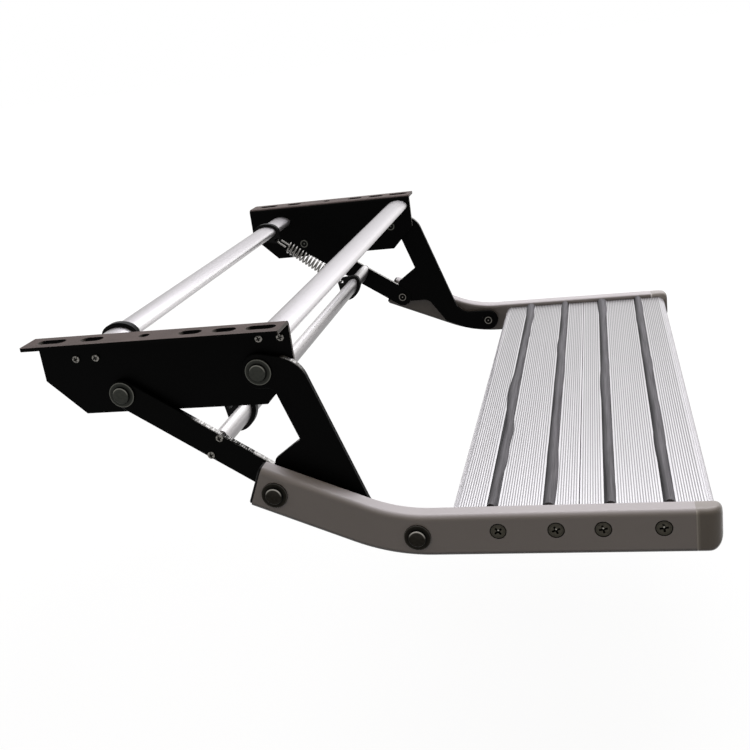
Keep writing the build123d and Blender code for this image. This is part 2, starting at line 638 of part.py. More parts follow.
rib_zones = [
    (JOINT_GAP / 2 + RIB_PITCH, STRIP_INNER - slot_half - RIB_PITCH),
    (STRIP_INNER + slot_half + RIB_PITCH, STRIP_OUTER - slot_half - RIB_PITCH),
    (STRIP_OUTER + slot_half + RIB_PITCH, PLANK_WIDTH - PLANK_NOSE_RADIUS),
]
grooves = []
for u_low, u_high in rib_zones:
    steps = int((u_high - u_low) / RIB_PITCH)
    first = (u_low + u_high - steps * RIB_PITCH) / 2
    for step in range(steps + 1):
        u = first + step * RIB_PITCH
        grooves.append(block(u - GROOVE_WIDTH / 2, u + GROOVE_WIDTH / 2, -GROOVE_DEPTH, 1))
nose_centre = Pos(PLANK_WIDTH - PLANK_NOSE_RADIUS, -PLANK_NOSE_RADIUS)
nose_turn = degrees(RIB_PITCH / PLANK_NOSE_RADIUS)
for step in range(1, int(90 / nose_turn)):
    nose_groove = Pos(PLANK_NOSE_RADIUS, 0) * Rectangle(2 * GROOVE_DEPTH, GROOVE_WIDTH)
    grooves.append(nose_centre * Rot(0, 0, 90 - step * nose_turn) * nose_groove)
plank_section -= grooves
plank_plane = Plane(origin=(TREAD_JOINT_X, plank_end, PLANK_TOP_Z), x_dir=(1, 0, 0), z_dir=(0, -1, 0))
front_plank = extrude(plank_plane * plank_section, 2 * plank_end)
save("front_plank", front_plank)
joint_mirror = Plane(origin=(TREAD_JOINT_X, 0, 0), x_dir=(0, 1, 0), z_dir=(1, 0, 0))
save("rear_plank", mirror(front_plank, about=joint_mirror))

# Grip strips pressed into the plank slots, a little proud and crowned
strip_half = slot_half - STRIP_SIDE_GAP
strip_shape = make_face(
    [
        Line((-strip_half, -STRIP_SLOT_DEPTH), (strip_half, -STRIP_SLOT_DEPTH)),
        Line((strip_half, -STRIP_SLOT_DEPTH), (strip_half, 0)),
        ThreePointArc((strip_half, 0), (0, STRIP_PROUD), (-strip_half, 0)),
        Line((-strip_half, 0), (-strip_half, -STRIP_SLOT_DEPTH)),
    ]
)
strip_end = plank_end - STRIP_END_SHORT
strip_positions = [-STRIP_OUTER, -STRIP_INNER, STRIP_INNER, STRIP_OUTER]
for number, offset in enumerate(strip_positions, start=1):
    strip_plane = Plane(
        origin=(TREAD_JOINT_X + offset, strip_end, PLANK_TOP_Z), x_dir=(1, 0, 0), z_dir=(0, -1, 0)
    )
    save(f"grip_strip_{number}", extrude(strip_plane * strip_shape, 2 * strip_end))

# Spring clips, mouldings pushed onto the oval tubes, each with a lug toward the other
spring_axis = (LINK_TUBE - REAR_TUBE).normalized()


def lug_length(long_axis):
    """From the middle of a tube out to its clip's eye, along the spring, past the oval's wall."""
    along = spring_axis.dot(long_axis)
    half_width = TUBE_WIDTH / 2
    half_height = TUBE_HEIGHT / 2
    across = sqrt(1 - along * along)
    return half_width * half_height / hypot(half_height * along, half_width * across) + LUG_REACH


def spring_clip(point, turn, lug_vector):
    eye = point + lug_vector
    oval_place = Pos(point.X, point.Y) * Rot(0, 0, turn)
    outer_rim = oval_place * tube_oval(CLIP_CLEARANCE + CLIP_WALL)
    lug_rim = Pos(eye.X, eye.Y) * Circle(LUG_RADIUS)
    shape = make_hull(outer_rim.edges() + lug_rim.edges())
    shape -= oval_place * tube_oval(CLIP_CLEARANCE)
    shape -= Pos(eye.X, eye.Y) * Circle(LUG_HOLE_DIAMETER / 2)
    return slab(shape, SPRING_LINE - CLIP_WIDTH / 2, SPRING_LINE + CLIP_WIDTH / 2)


rear_lug = lug_length(Vector(1, 0))
link_lug = lug_length(LINK_NORMAL)
save_pair("tube_clip", spring_clip(REAR_TUBE, 0, spring_axis * rear_lug))
save_pair("link_clip", spring_clip(LINK_TUBE, link_tube_turn, spring_axis * -link_lug))

# Tension springs between the clips, a coil with a long loop at each end
wire_radius = WIRE_DIAMETER / 2
coil_radius = COIL_DIAMETER / 2
span = (LINK_TUBE - REAR_TUBE).length - rear_lug - link_lug
coil_length = span - 2 * HOOK_LENGTH
coil_pitch = coil_length / COIL_TURNS
helix = Helix(coil_pitch, coil_length + coil_pitch * COIL_LEAD, coil_radius)
wire_section = RegularPolygon(wire_radius, WIRE_FACE_COUNT)
coil = sweep(Plane(origin=helix @ 0, z_dir=helix % 0) * wire_section, path=helix, is_frenet=True)
coil = Pos(0, 0, -coil_pitch * COIL_LEAD) * Rot(0, 0, -360 * COIL_LEAD) * coil
loop_straight = HOOK_LENGTH - coil_radius
loop_path = Wire(
    [
        Edge.make_line((coil_radius, 0, 0), (coil_radius, 0, -loop_straight)),
        Edge.make_three_point_arc(
            (coil_radius, 0, -loop_straight), (0, 0, -HOOK_LENGTH), (-coil_radius, 0, -loop_straight)
        ),
        Edge.make_line((-coil_radius, 0, -loop_straight), (-coil_radius, 0, -wire_radius)),
    ]
)
loop = sweep(Plane(origin=(coil_radius, 0, 0), z_dir=(0, 0, -1)) * wire_section, path=loop_path)
joint_ball = Pos(coil_radius, 0, 0) * Sphere(wire_radius * WIRE_JOINT_SWELL)
end_loop = loop + joint_ball
far_loop = Pos(0, 0, coil_length) * Rot(180, 0, 0) * end_loop
spring = coil + end_loop + far_loop
coil_start = REAR_TUBE + spring_axis * (rear_lug + HOOK_LENGTH)
spring_plane = Plane(
    origin=(coil_start.X, SPRING_LINE, coil_start.Y),
    x_dir=(0, 1, 0),
    z_dir=(spring_axis.X, 0, spring_axis.Y),
)
save_pair("spring", spring_plane * spring)
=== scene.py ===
"""Looks of a folding caravan entry step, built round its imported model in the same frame, in metres."""

from math import pi, radians

import bmesh
import bpy
import numpy as np
from mathutils import Matrix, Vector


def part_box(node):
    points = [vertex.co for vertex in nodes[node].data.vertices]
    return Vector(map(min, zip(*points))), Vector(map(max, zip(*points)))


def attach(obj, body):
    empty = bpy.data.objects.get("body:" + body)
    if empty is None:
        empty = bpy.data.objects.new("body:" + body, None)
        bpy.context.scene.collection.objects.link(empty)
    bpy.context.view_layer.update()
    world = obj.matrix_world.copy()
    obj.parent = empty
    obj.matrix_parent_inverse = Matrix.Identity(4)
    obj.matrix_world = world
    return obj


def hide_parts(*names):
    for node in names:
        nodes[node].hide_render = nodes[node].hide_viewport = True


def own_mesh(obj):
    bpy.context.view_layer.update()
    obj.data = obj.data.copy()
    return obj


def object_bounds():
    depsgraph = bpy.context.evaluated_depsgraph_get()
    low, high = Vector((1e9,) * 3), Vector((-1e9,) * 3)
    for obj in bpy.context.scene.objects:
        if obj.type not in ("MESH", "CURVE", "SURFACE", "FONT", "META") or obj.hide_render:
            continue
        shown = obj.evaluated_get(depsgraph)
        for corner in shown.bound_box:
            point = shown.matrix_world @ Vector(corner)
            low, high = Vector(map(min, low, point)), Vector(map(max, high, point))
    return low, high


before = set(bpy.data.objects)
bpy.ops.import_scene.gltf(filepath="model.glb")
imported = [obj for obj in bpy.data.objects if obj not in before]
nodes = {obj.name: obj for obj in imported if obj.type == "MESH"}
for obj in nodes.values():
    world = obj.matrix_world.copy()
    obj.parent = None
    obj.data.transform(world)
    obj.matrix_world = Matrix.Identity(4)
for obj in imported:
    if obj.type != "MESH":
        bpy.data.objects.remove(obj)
cad_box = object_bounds()
bpy.context.scene.view_settings.view_transform = "Standard"
MM = 0.001


# Side plates: sheet steel bent once to an outward flange, punched, then powder-coated black.
# The walls are a matt black. On the flange tops a brown-grey mottle is dust and a painted sheen of the
# light there, and the forward-facing cut ends are a paler grey: bare cut metal and a painted highlight.
PEEL_MM = 1.4
DUST_SHEEN_GRAIN_MM = 0.7
DUST_SHEEN_PATCH_MM = 26.0
COAT_BLACK = "#050505"
DUST_SHEEN_DARK = "#524845"
DUST_SHEEN_LIGHT = "#6f6461"
CUT_EDGE_HIGHLIGHT_GREY = "#8b8884"


def linear(hex_colour):
    """Linear RGBA of an sRGB hex value: each channel goes through the inverse sRGB curve."""
    srgb = np.array([int(hex_colour[i : i + 2], 16) for i in (1, 3, 5)]) / 255
    light = np.where(srgb <= 0.04045, srgb / 12.92, ((srgb + 0.055) / 1.055) ** 2.4)
    return (*light, 1.0)


def pitch(size_mm):
    """Scale of a pattern whose features have a real size in millimetres."""
    return 1 / (size_mm * MM)


def connect(tree, socket, value):
    """Sets a socket to a plain value, or links it to another socket or to a node's first output in use."""
    if isinstance(value, bpy.types.Node):
        value = next(output for output in value.outputs if output.enabled)
    if isinstance(value, bpy.types.NodeSocket):
        tree.links.new(value, socket)
    else:
        socket.default_value = value


def add_node(tree, kind, settings, inputs):
    """Adds a node with its own settings; inputs by name or number are values, sockets or other nodes."""
    node = tree.nodes.new(kind)
    for name, value in settings.items():
        setattr(node, name, value)
    for key, value in inputs.items():
        connect(tree, node.inputs[key], value)
    return node


def drive(tree, shader, inputs):
    """Sets or links inputs of a shader, by name."""
    for name, value in inputs.items():
        connect(tree, shader.inputs[name], value)


def new_finish(name, constants):
    """A material whose shader holds the values that are the same all over the surface. Returned with it
    are its node tree, its shader and the coordinates of a point of the surface."""
    material = bpy.data.materials.new(name)
    material.use_nodes = True
    tree = material.node_tree
    shader = tree.nodes["Principled BSDF"]
    drive(tree, shader, constants)
    return material, tree, shader, add_node(tree, "ShaderNodeTexCoord", {}, {}).outputs


def dress(material, *names):
    """Puts a material on CAD nodes."""
    for name in names:
        for slot in nodes[name].material_slots:
            slot.material = material


def both(name):
    """The left and right node of a pair."""
    return f"{name}_left", f"{name}_right"


RGBA = {"data_type": "RGBA"}

# Powder coat: baked polyester powder, so a rough dielectric skin with hardly any highlight.
powder_coat, tree, shader, place = new_finish("black powder coat", {"Specular IOR Level": 0.03})
facing = add_node(tree, "ShaderNodeSeparateXYZ", {}, {0: place["Normal"]}).outputs
top_sheen_share = add_node(tree, "ShaderNodeMapRange", {}, {"Value": facing["Z"], 1: 0.55, 2: 0.95})
ending = add_node(tree, "ShaderNodeMapRange", {}, {"Value": facing["X"], 1: 0.6, 2: 0.9})
grain = add_node(
    tree,
    "ShaderNodeTexNoise",
    {},
    {"Vector": place["Object"], "Scale": pitch(DUST_SHEEN_GRAIN_MM), "Detail": 3.0},
)
patches = add_node(
    tree,
    "ShaderNodeTexNoise",
    {},
    {"Vector": place["Object"], "Scale": pitch(DUST_SHEEN_PATCH_MM), "Detail": 5.0},
)
speckle = add_node(tree, "ShaderNodeMath", {"operation": "MULTIPLY"}, {0: grain, 1: patches})
dust_sheen_mottle = add_node(tree, "ShaderNodeMapRange", {}, {"Value": speckle, 1: 0.12, 2: 0.40})
# Up-facing flange tops: a dust mottle whose brown-grey is also a painted sheen of the light there.
dust_and_sheen = add_node(tree, "ShaderNodeMix", RGBA, {0: dust_sheen_mottle, 6: linear(DUST_SHEEN_DARK), 7: linear(DUST_SHEEN_LIGHT)})
# Forward-facing cut ends: paler grey for bare cut metal, and a painted highlight where light catches them.
cut_edge_highlighted = add_node(tree, "ShaderNodeMix", RGBA, {0: ending, 6: linear(COAT_BLACK), 7: linear(CUT_EDGE_HIGHLIGHT_GREY)})
tone = add_node(tree, "ShaderNodeMix", RGBA, {0: top_sheen_share, 6: cut_edge_highlighted, 7: dust_and_sheen})
peel = add_node(
    tree, "ShaderNodeTexNoise", {}, {"Vector": place["Object"], "Scale": pitch(PEEL_MM), "Detail": 2.0}
)
gloss = add_node(tree, "ShaderNodeMapRange", {}, {"Value": patches, 3: 0.36, 4: 0.54})
relief = add_node(tree, "ShaderNodeBump", {}, {"Height": peel, "Strength": 0.5, "Distance": 0.08 * MM})
drive(tree, shader, {"Base Color": tone, "Roughness": gloss, "Normal": relief})
dress(powder_coat, *both("side_plate"))


# Cross tubes and link tube: one oval aluminium extrusion, cut to length and screwed through its ports.
# The satin metal keeps faint lengthwise lines from the die. It is dull on top, where dust lies, and
# Its tone round the tube is a painted reflection and highlight: bright toward the front, duller on top,
# darkest below.
DIE_LINE_MM = 1.6
DIE_LINE_RUN_MM = 400.0
DIE_LINE_SHARE = 0.08
REAR_TUBE_REFLECTION_TONES = [
    (-120, "#8f8b8c"),
    (-36, "#bdbabb"),
    (-18, "#dedbdc"),
    (-8, "#fcfafa"),
    (28, "#fcfafa"),
    (40, "#dfdcdd"),
    (54, "#c4c1c2"),
    (72, "#b0adae"),
    (90, "#afacad"),
    (110, "#a4a1a2"),
]
FRONT_TUBE_REFLECTION_TONES = [
    (-120, "#8f8b8c"),
    (-30, "#f4f1f2"),
    (-15, "#d8d5d6"),
    (0, "#d6d3d4"),
    (18, "#e3e0e1"),
    (40, "#e8e5e6"),
    (50, "#dbd8d9"),
    (62, "#c3c0c1"),
    (75, "#b6b3b4"),
    (90, "#aba8a9"),
    (104, "#aca9aa"),
    (112, "#8f8b8c"),
]
LINK_TUBE_REFLECTION_TONES = [
    (-120, "#8f8b8c"),
    (-48, "#979495"),
    (-30, "#82807f"),
    (-18, "#8c898a"),
    (-10, "#9f9c9d"),
    (0, "#c6c3c3"),
    (12, "#dad7d7"),
    (30, "#e7e4e4"),
    (45, "#fcfafa"),
    (60, "#edeaea"),
    (78, "#d9d6d6"),
    (92, "#dedbdb"),
    (132, "#cdcaca"),
]
for name, stops, dressed in (
    ("satin rear tube aluminium", REAR_TUBE_REFLECTION_TONES, "rear_cross_tube"),
    ("satin front tube aluminium", FRONT_TUBE_REFLECTION_TONES, "front_cross_tube"),
    ("satin link tube aluminium", LINK_TUBE_REFLECTION_TONES, "link_tube"),
):
    tube_metal, tree, shader, place = new_finish(name, {"Metallic": 1.0})
    facing = add_node(tree, "ShaderNodeSeparateXYZ", {}, {0: place["Normal"]}).outputs
    turn = add_node(tree, "ShaderNodeMath", {"operation": "ARCTAN2"}, {0: facing["Z"], 1: facing["X"]})
    round_tube = add_node(tree, "ShaderNodeMapRange", {}, {"Value": turn, 1: -pi, 2: pi})
    # Painted reflection and highlight: the tone follows the angle round the tube, from the ramp of stops.
    satin = add_node(tree, "ShaderNodeValToRGB", {}, {0: round_tube})
    ramp = satin.color_ramp.elements
    ramp.remove(ramp[1])
    ramp[0].color = linear(stops[0][1])
    for degrees_round, colour in stops:
        ramp.new(degrees_round / 360 + 0.5).color = linear(colour)
    stretch = add_node(
        tree,
        "ShaderNodeMapping",
        {},
        {
            "Vector": place["Object"],
            "Scale": (pitch(DIE_LINE_MM), pitch(DIE_LINE_RUN_MM), pitch(DIE_LINE_MM)),
        },
    )
    die_lines = add_node(tree, "ShaderNodeTexNoise", {}, {"Vector": stretch, "Scale": 1.0, "Detail": 2.0})
    tone = add_node(
        tree,
        "ShaderNodeMix",
        {**RGBA, "blend_type": "MULTIPLY"},
        {0: DIE_LINE_SHARE, 6: satin, 7: die_lines},
    )
    gloss = add_node(tree, "ShaderNodeMapRange", {}, {"Value": die_lines, 3: 0.38, 4: 0.46})
    drive(tree, shader, {"Base Color": tone, "Roughness": gloss})
    dress(tube_metal, dressed)


# Small screws: zinc-plated pan heads with a cross recess, two at each end of each tube.
# They are turned shapes whose top is pressed in along two crossing bars, painted dark at the bottom as
# shade.
PAN_RADIUS_MM = 3.2
PAN_HEIGHT_MM = 1.9
PAN_WALL_SHARE = 0.35
PAN_UNDER_MM = 0.1
PAN_CROSS_MM = 3.8
PAN_CROSS_BAR_MM = 1.2
PAN_CROSS_DEPTH_MM = 0.9
PAN_SHANK_RADIUS_MM = 1.4
PAN_SHANK_MM = 6.0
PORT_OFFSET_MM = 8.7
PAN_TURN = radians(20)
PLATE_OUT_MM = 275.0
CROSS_END_SOFT_MM = 0.5
CROSS_SIDE_SOFT_MM = 0.25
RECESS_SHADE = 0.9
RECESS_SHADE_BLACK = "#050505"
SIDES = (("left", 1), ("right", -1))


def rounded_corners(corners, steps=6):
    """A profile of (radius, height) points: each corner (radius, height, rounding) is cut back along
    both of its sides by its rounding and joined by a quadratic curve with the corner as its control."""
    points = np.array([corner[:2] for corner in corners], float)
    rounding = np.array([corner[2] for corner in corners], float)[:, None]
    before = np.roll(points, 1, axis=0) - points
    after = np.roll(points, -1, axis=0) - points
    enter = points + before / np.maximum(np.linalg.norm(before, axis=1, keepdims=True), 1e-9) * rounding
    leave = points + after / np.maximum(np.linalg.norm(after, axis=1, keepdims=True), 1e-9) * rounding
    t = np.linspace(0, 1, steps)[None, :, None]
    bend = (1 - t) ** 2 * enter[:, None] + 2 * t * (1 - t) * points[:, None] + t**2 * leave[:, None]
    curve = bend.reshape(-1, 2)
    keep = np.r_[True, np.linalg.norm(np.diff(curve, axis=0), axis=1) > 1e-6]
    return curve[keep]


def turned(profile_mm, centre, outward, spokes=48):
    """A turned surface round a Y axis: x and z are the profile's radius times cosine and sine of the
    angle, and y is the profile's height, measured from the centre toward the outside of the step."""
    angle = np.linspace(0, 2 * pi, spokes, endpoint=False)[None, :]
    radius = profile_mm[:, :1] * MM
    height = profile_mm[:, 1:] * MM + 0 * angle
    x = centre[0] + radius * np.cos(angle)
    z = centre[2] + radius * np.sin(angle)
    return np.stack([x, centre[1] + outward * height, z], -1)


def cross_press(grid, centre, span_mm, width_mm, turn):
    """How far each point of a turned head lies in its cross recess: the larger of two soft-edged bars at
    right angles, each one within its half width and half span and none outside."""
    along = (grid[..., 0] - centre[0]) / MM
    up = (grid[..., 2] - centre[2]) / MM
    u = along * np.cos(turn) + up * np.sin(turn)
    v = up * np.cos(turn) - along * np.sin(turn)
    end_u, end_v = ((span_mm / 2 - np.abs(axis)) / CROSS_END_SOFT_MM for axis in (u, v))
    side_u, side_v = ((width_mm / 2 - np.abs(axis)) / CROSS_SIDE_SOFT_MM for axis in (u, v))
    return np.clip(np.maximum(np.minimum(end_u, side_v), np.minimum(end_v, side_u)), 0, 1)


def make_piece(name, grids, material, marks=None, sharp_deg=50):
    """One mesh from grids of points (rows, columns, 3), each closed from its last column to its first:
    neighbours are joined by quads, and points that coincide at poles are merged. Marks, one array for
    each grid, become the attribute that the finish reads for worn rims, painted highlights and painted
    shade in recesses."""
    faces = []
    start = 0
    for grid in grids:
        rows, columns = grid.shape[:2]
        here = np.arange(rows * columns).reshape(rows, columns) + start
        beside = np.roll(here, -1, axis=1)
        faces.append(np.stack([here[:-1], beside[:-1], beside[1:], here[1:]], -1).reshape(-1, 4))
        start += rows * columns
    mesh = bpy.data.meshes.new(name)
    points = np.concatenate([grid.reshape(-1, 3) for grid in grids])
    mesh.from_pydata(points.tolist(), [], np.concatenate(faces).tolist())
    if marks is not None:
        attribute = mesh.attributes.new("mark", "FLOAT", "POINT")
        attribute.data.foreach_set("value", np.concatenate([mark.ravel() for mark in marks]))
    shape = bmesh.new()
    shape.from_mesh(mesh)
    bmesh.ops.remove_doubles(shape, verts=shape.verts, dist=0.001 * MM)
    bmesh.ops.recalc_face_normals(shape, faces=shape.faces)
    shape.to_mesh(mesh)
    shape.free()
    mesh.shade_smooth()
    mesh.set_sharp_from_angle(angle=radians(sharp_deg))
    mesh.materials.append(material)
    piece = bpy.data.objects.new(name, mesh)
    bpy.context.scene.collection.objects.link(piece)
    return piece


def hand_over(piece, body, node):
    """Lets a finished piece ride on a body in place of a CAD node, which is hidden."""
    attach(piece, body)
    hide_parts(node)


def middle(name):
    """The middle of a CAD node's box, as an array."""
    low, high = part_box(name)
    return (np.array(low) + np.array(high)) / 2


def marked_metal(name, grain_mm, rough, dark, light, marked):
    """A metal whose tone and roughness follow a fine noise. Where the mark is above zero it fades to a
    second tone, for wear and painted highlights, and where it is below zero to black, for painted shade."""
    material, tree, shader, place = new_finish(name, {"Metallic": 1.0})
    grain = add_node(
        tree, "ShaderNodeTexNoise", {}, {"Vector": place["Object"], "Scale": pitch(grain_mm), "Detail": 4.0}
    )
    mottle = add_node(tree, "ShaderNodeMapRange", {}, {"Value": grain, 1: 0.3, 2: 0.7})
    plain = add_node(tree, "ShaderNodeMix", RGBA, {0: mottle, 6: linear(dark), 7: linear(light)})
    mark = add_node(tree, "ShaderNodeAttribute", {"attribute_name": "mark"}, {}).outputs["Fac"]
    wear_and_highlight_tone = add_node(tree, "ShaderNodeMix", RGBA, {0: mark, 6: plain, 7: linear(marked)})
    # Painted shade: marks below zero fade the tone to black.
    shaded_hollow = add_node(tree, "ShaderNodeMath", {"operation": "MULTIPLY"}, {0: mark, 1: -1.0})
    tone = add_node(tree, "ShaderNodeMix", RGBA, {0: shaded_hollow, 6: wear_and_highlight_tone, 7: linear(RECESS_SHADE_BLACK)})
    gloss = add_node(tree, "ShaderNodeMapRange", {}, {"Value": mottle, 3: rough[0], 4: rough[1]})
    drive(tree, shader, {"Base Color": tone, "Roughness": gloss})
    return material


# Bright zinc: a thin passivated plating, blotched by weather, with painted shade in the recess.
bright_zinc = marked_metal(
    "bright zinc plating", grain_mm=1.3, rough=(0.14, 0.30),
    dark="#1c1b1a", light="#8e8b85", marked="#d9d7d2",
)
dome = np.linspace(0, pi / 2, 30)
dome_height = PAN_WALL_SHARE + (1 - PAN_WALL_SHARE) * np.cos(dome) ** 0.8
pan_top = np.stack([PAN_RADIUS_MM * np.sin(dome) ** 0.9, PAN_HEIGHT_MM * dome_height], -1)
pan_under = rounded_corners(
    [
        (PAN_RADIUS_MM, PAN_UNDER_MM, 0),
        (PAN_SHANK_RADIUS_MM, PAN_UNDER_MM, 0.05),
        (PAN_SHANK_RADIUS_MM, -PAN_SHANK_MM, 0.2),
        (0, -PAN_SHANK_MM, 0),
    ]
)
pan_profile = np.concatenate([pan_top, pan_under])
on_dome = pan_profile[:, 1:] > 2 * PAN_UNDER_MM


def pan_screws(name, points, y_face, outward):
    """Pan-head screws at side-view points (x, z) on a face at a Y value."""
    grids = []
    marks = []
    for x, z in points:
        centre = (x, y_face, z)
        head = turned(pan_profile, centre, outward, spokes=72)
        press = cross_press(head, centre, PAN_CROSS_MM, PAN_CROSS_BAR_MM, PAN_TURN) * on_dome
        head[..., 1] -= outward * press * PAN_CROSS_DEPTH_MM * MM
        grids.append(head)
        # Painted shade: the cross recess is darkened by its depth.
        marks.append(-RECESS_SHADE * press)
    return make_piece(name, grids, bright_zinc, marks, sharp_deg=35)


tube_centres = [middle("rear_cross_tube"), middle("front_cross_tube")]
plate_screw_points = [
    (centre[0] + side * PORT_OFFSET_MM * MM, centre[2]) for centre in tube_centres for side in (-1, 1)
]
for side, outward in SIDES:
    y_face = outward * PLATE_OUT_MM * MM
    screws = pan_screws(f"zinc_plate_screws_{side}", plate_screw_points, y_face, outward)
    hand_over(screws, "frame", f"plate_screws_{side}")


# Plate pivots: flanged steel pins through plate and link, with their tails rolled over inside the plate.
# Olive passivated zinc makes them grey-green, paler on the tail and at the flange's worn rim, with a
# painted highlight on the cap's upper edge.
HEAD_RADIUS_MM = 10.6
HEAD_THICK_MM = 1.6
CAP_RADIUS_MM = 6.8
CAP_HEIGHT_MM = 2.2
PIN_RADIUS_MM = 5.0
TAIL_RADIUS_MM = 5.8
TAIL_HEIGHT_MM = 1.6
TAIL_RING_MM = 4.3
PLATE_IN_MM = 272.0
LINK_OUT_MM = 281.0
SIDE_GAP_MM = 0.2
PLATE_HEAD_SEAT_MM = LINK_OUT_MM + SIDE_GAP_MM
RUBBED_RIM_MM = HEAD_RADIUS_MM - 0.25
TURNED_LINE_MM = HEAD_RADIUS_MM - 1.4
CAP_FOOT_MM = CAP_RADIUS_MM + 0.5
CAP_HIGHLIGHT_EDGE_MM = CAP_RADIUS_MM - 0.45
OLIVE_RIM_SHARE = 0.5


def rivet_profile(y_tail_mm, y_head_mm):
    """Profile of a riveted pin from the middle of its rolled tail to the middle of its capped head."""
    tail = y_tail_mm - TAIL_HEIGHT_MM
    head = y_head_mm + HEAD_THICK_MM
    cap = head + CAP_HEIGHT_MM
    return rounded_corners(
        [
            (0, tail + 0.2, 0),
            (0.8, tail + 0.2, 0.1),
            (1.6, tail + 0.9, 0.3),
            (3.4, tail + 0.9, 0.3),
            (TAIL_RING_MM - 0.5, tail, 0.2),
            (TAIL_RING_MM + 0.3, tail, 0.1),
            (TAIL_RADIUS_MM, tail + 0.4, 0.4),
            (TAIL_RADIUS_MM, y_tail_mm, 0),
            (PIN_RADIUS_MM, y_tail_mm, 0),
            (PIN_RADIUS_MM, y_head_mm, 0),
            (HEAD_RADIUS_MM, y_head_mm, 0.15),
            (HEAD_RADIUS_MM, head, 0.6),
            (HEAD_RADIUS_MM - 1.1, head, 0),
            (CAP_FOOT_MM, head, 0.4),
            (CAP_RADIUS_MM, head + 0.5, 0.2),
            (CAP_RADIUS_MM, cap, 0.9),
            (CAP_RADIUS_MM - 1.3, cap, 0),
            (0, cap, 0),
        ]
    )


def bell(distance_mm, width_mm):
    """A bell curve: the exponential of minus the square of distance over width."""
    return np.exp(-((distance_mm / width_mm) ** 2))


def worn_and_lit_marks(profile_mm, y_tail_mm, y_head_mm, rim_share, spokes=48):
    """Marks on a rivet: bell curves about certain radii, each on its own stretch of the profile. The tail
    is black but for a ring and its middle. The flange is worn pale at its rim and dark along a turned line,
    and painted shadow darkens it round the foot of the cap. The cap's wall is dark with painted shade, and
    its edge has a painted highlight on the upper side."""
    radius, height = profile_mm[:, :1], profile_mm[:, 1:]
    flange_top = y_head_mm + HEAD_THICK_MM
    on_tail = height < y_tail_mm - 0.3
    on_cap = height > flange_top + CAP_HEIGHT_MM - 0.9
    on_wall = (height > flange_top + 0.05) & ~on_cap
    on_flange = (height > y_head_mm + 0.1) & ~on_cap & ~on_wall
    tail = 1.7 * bell(radius - TAIL_RING_MM, 0.5) + 1.87 * bell(radius, 0.9) - 0.85
    # Painted shadow round the foot of the cap, and a dark turned line on the flange.
    shade = 0.4 * bell(radius - TURNED_LINE_MM, 0.3) + 0.7 * bell(radius - CAP_FOOT_MM, 0.6)
    flange = rim_share * bell(radius - RUBBED_RIM_MM, 0.4) - shade
    angle = np.linspace(0, 2 * pi, spokes, endpoint=False)
    # Painted highlight on the cap's edge, on its upper side only; the cap's wall is darkened as painted
    # shade.
    lit_upper_side = np.clip(1.6 * np.sin(angle + radians(8)) - 0.2, 0, 1)
    cap = bell(radius - CAP_HIGHLIGHT_EDGE_MM, 0.42) * lit_upper_side
    return np.clip(on_tail * tail + on_flange * flange + on_cap * cap - 0.85 * on_wall, -1, 1)


# Olive zinc: chromate over zinc, a dull metal with a mottled, slightly powdery skin.
olive_zinc = marked_metal(
    "olive passivated zinc", grain_mm=2.5, rough=(0.36, 0.55),
    dark="#2a2b28", light="#363733", marked="#7d7c75",
)
plate_pivot = rivet_profile(PLATE_IN_MM, PLATE_HEAD_SEAT_MM)
plate_pivot_marks = worn_and_lit_marks(plate_pivot, PLATE_IN_MM, PLATE_HEAD_SEAT_MM, OLIVE_RIM_SHARE)
for side, outward in SIDES:
    for name in (f"rear_link_pivot_{side}", f"front_arm_pivot_{side}"):
        at = middle(name)
        grid = turned(plate_pivot, (at[0], 0.0, at[2]), outward)
        rivet = make_piece(f"olive_{name}", [grid], olive_zinc, [plate_pivot_marks])
        hand_over(rivet, "frame", name)
dress(olive_zinc, *both("rear_link_washer"), *both("front_arm_washer"))


# Rear links and front arms: 5 mm steel cut from plate and coated black on their faces.
# Edges that face up are bare metal with close cross marks from the cutting, and keeping the bare metal to
# the edges that face up is a painted highlight from the light above. The upper ends of the links, the feet
# of the arms and a stretch of the right link below its tube keep their coat.
CUT_MARK_MM = 0.5
CUT_MARK_RUN_MM = 6.0
LINK_BARE_FROM_X_MM = 15.0
ARM_BARE_FROM_X_MM = 98.0
BARE_FROM_Z_MM = -150.0
BARE_FADE_MM = 3.0
COATED_STRETCH_MM = (("X", 34, 37), ("X", 62, 58), ("Z", -60, -80), ("Y", 0, -50))
CUT_DARK = "#686662"
CUT_LIGHT = "#c8c6c3"


def within(tree, spot, share, limits_mm):
    """What is left of a mask inside limits. For each row (axis, outside, inside) it is multiplied by a ramp
    along that axis, which is nought at the outside place and one at the inside place."""
    for axis, outside_mm, inside_mm in limits_mm:
        ramp = add_node(
            tree, "ShaderNodeMapRange", {}, {"Value": spot[axis], 1: outside_mm * MM, 2: inside_mm * MM}
        )
        share = add_node(tree, "ShaderNodeMath", {"operation": "MULTIPLY"}, {0: share, 1: ramp})
    return share


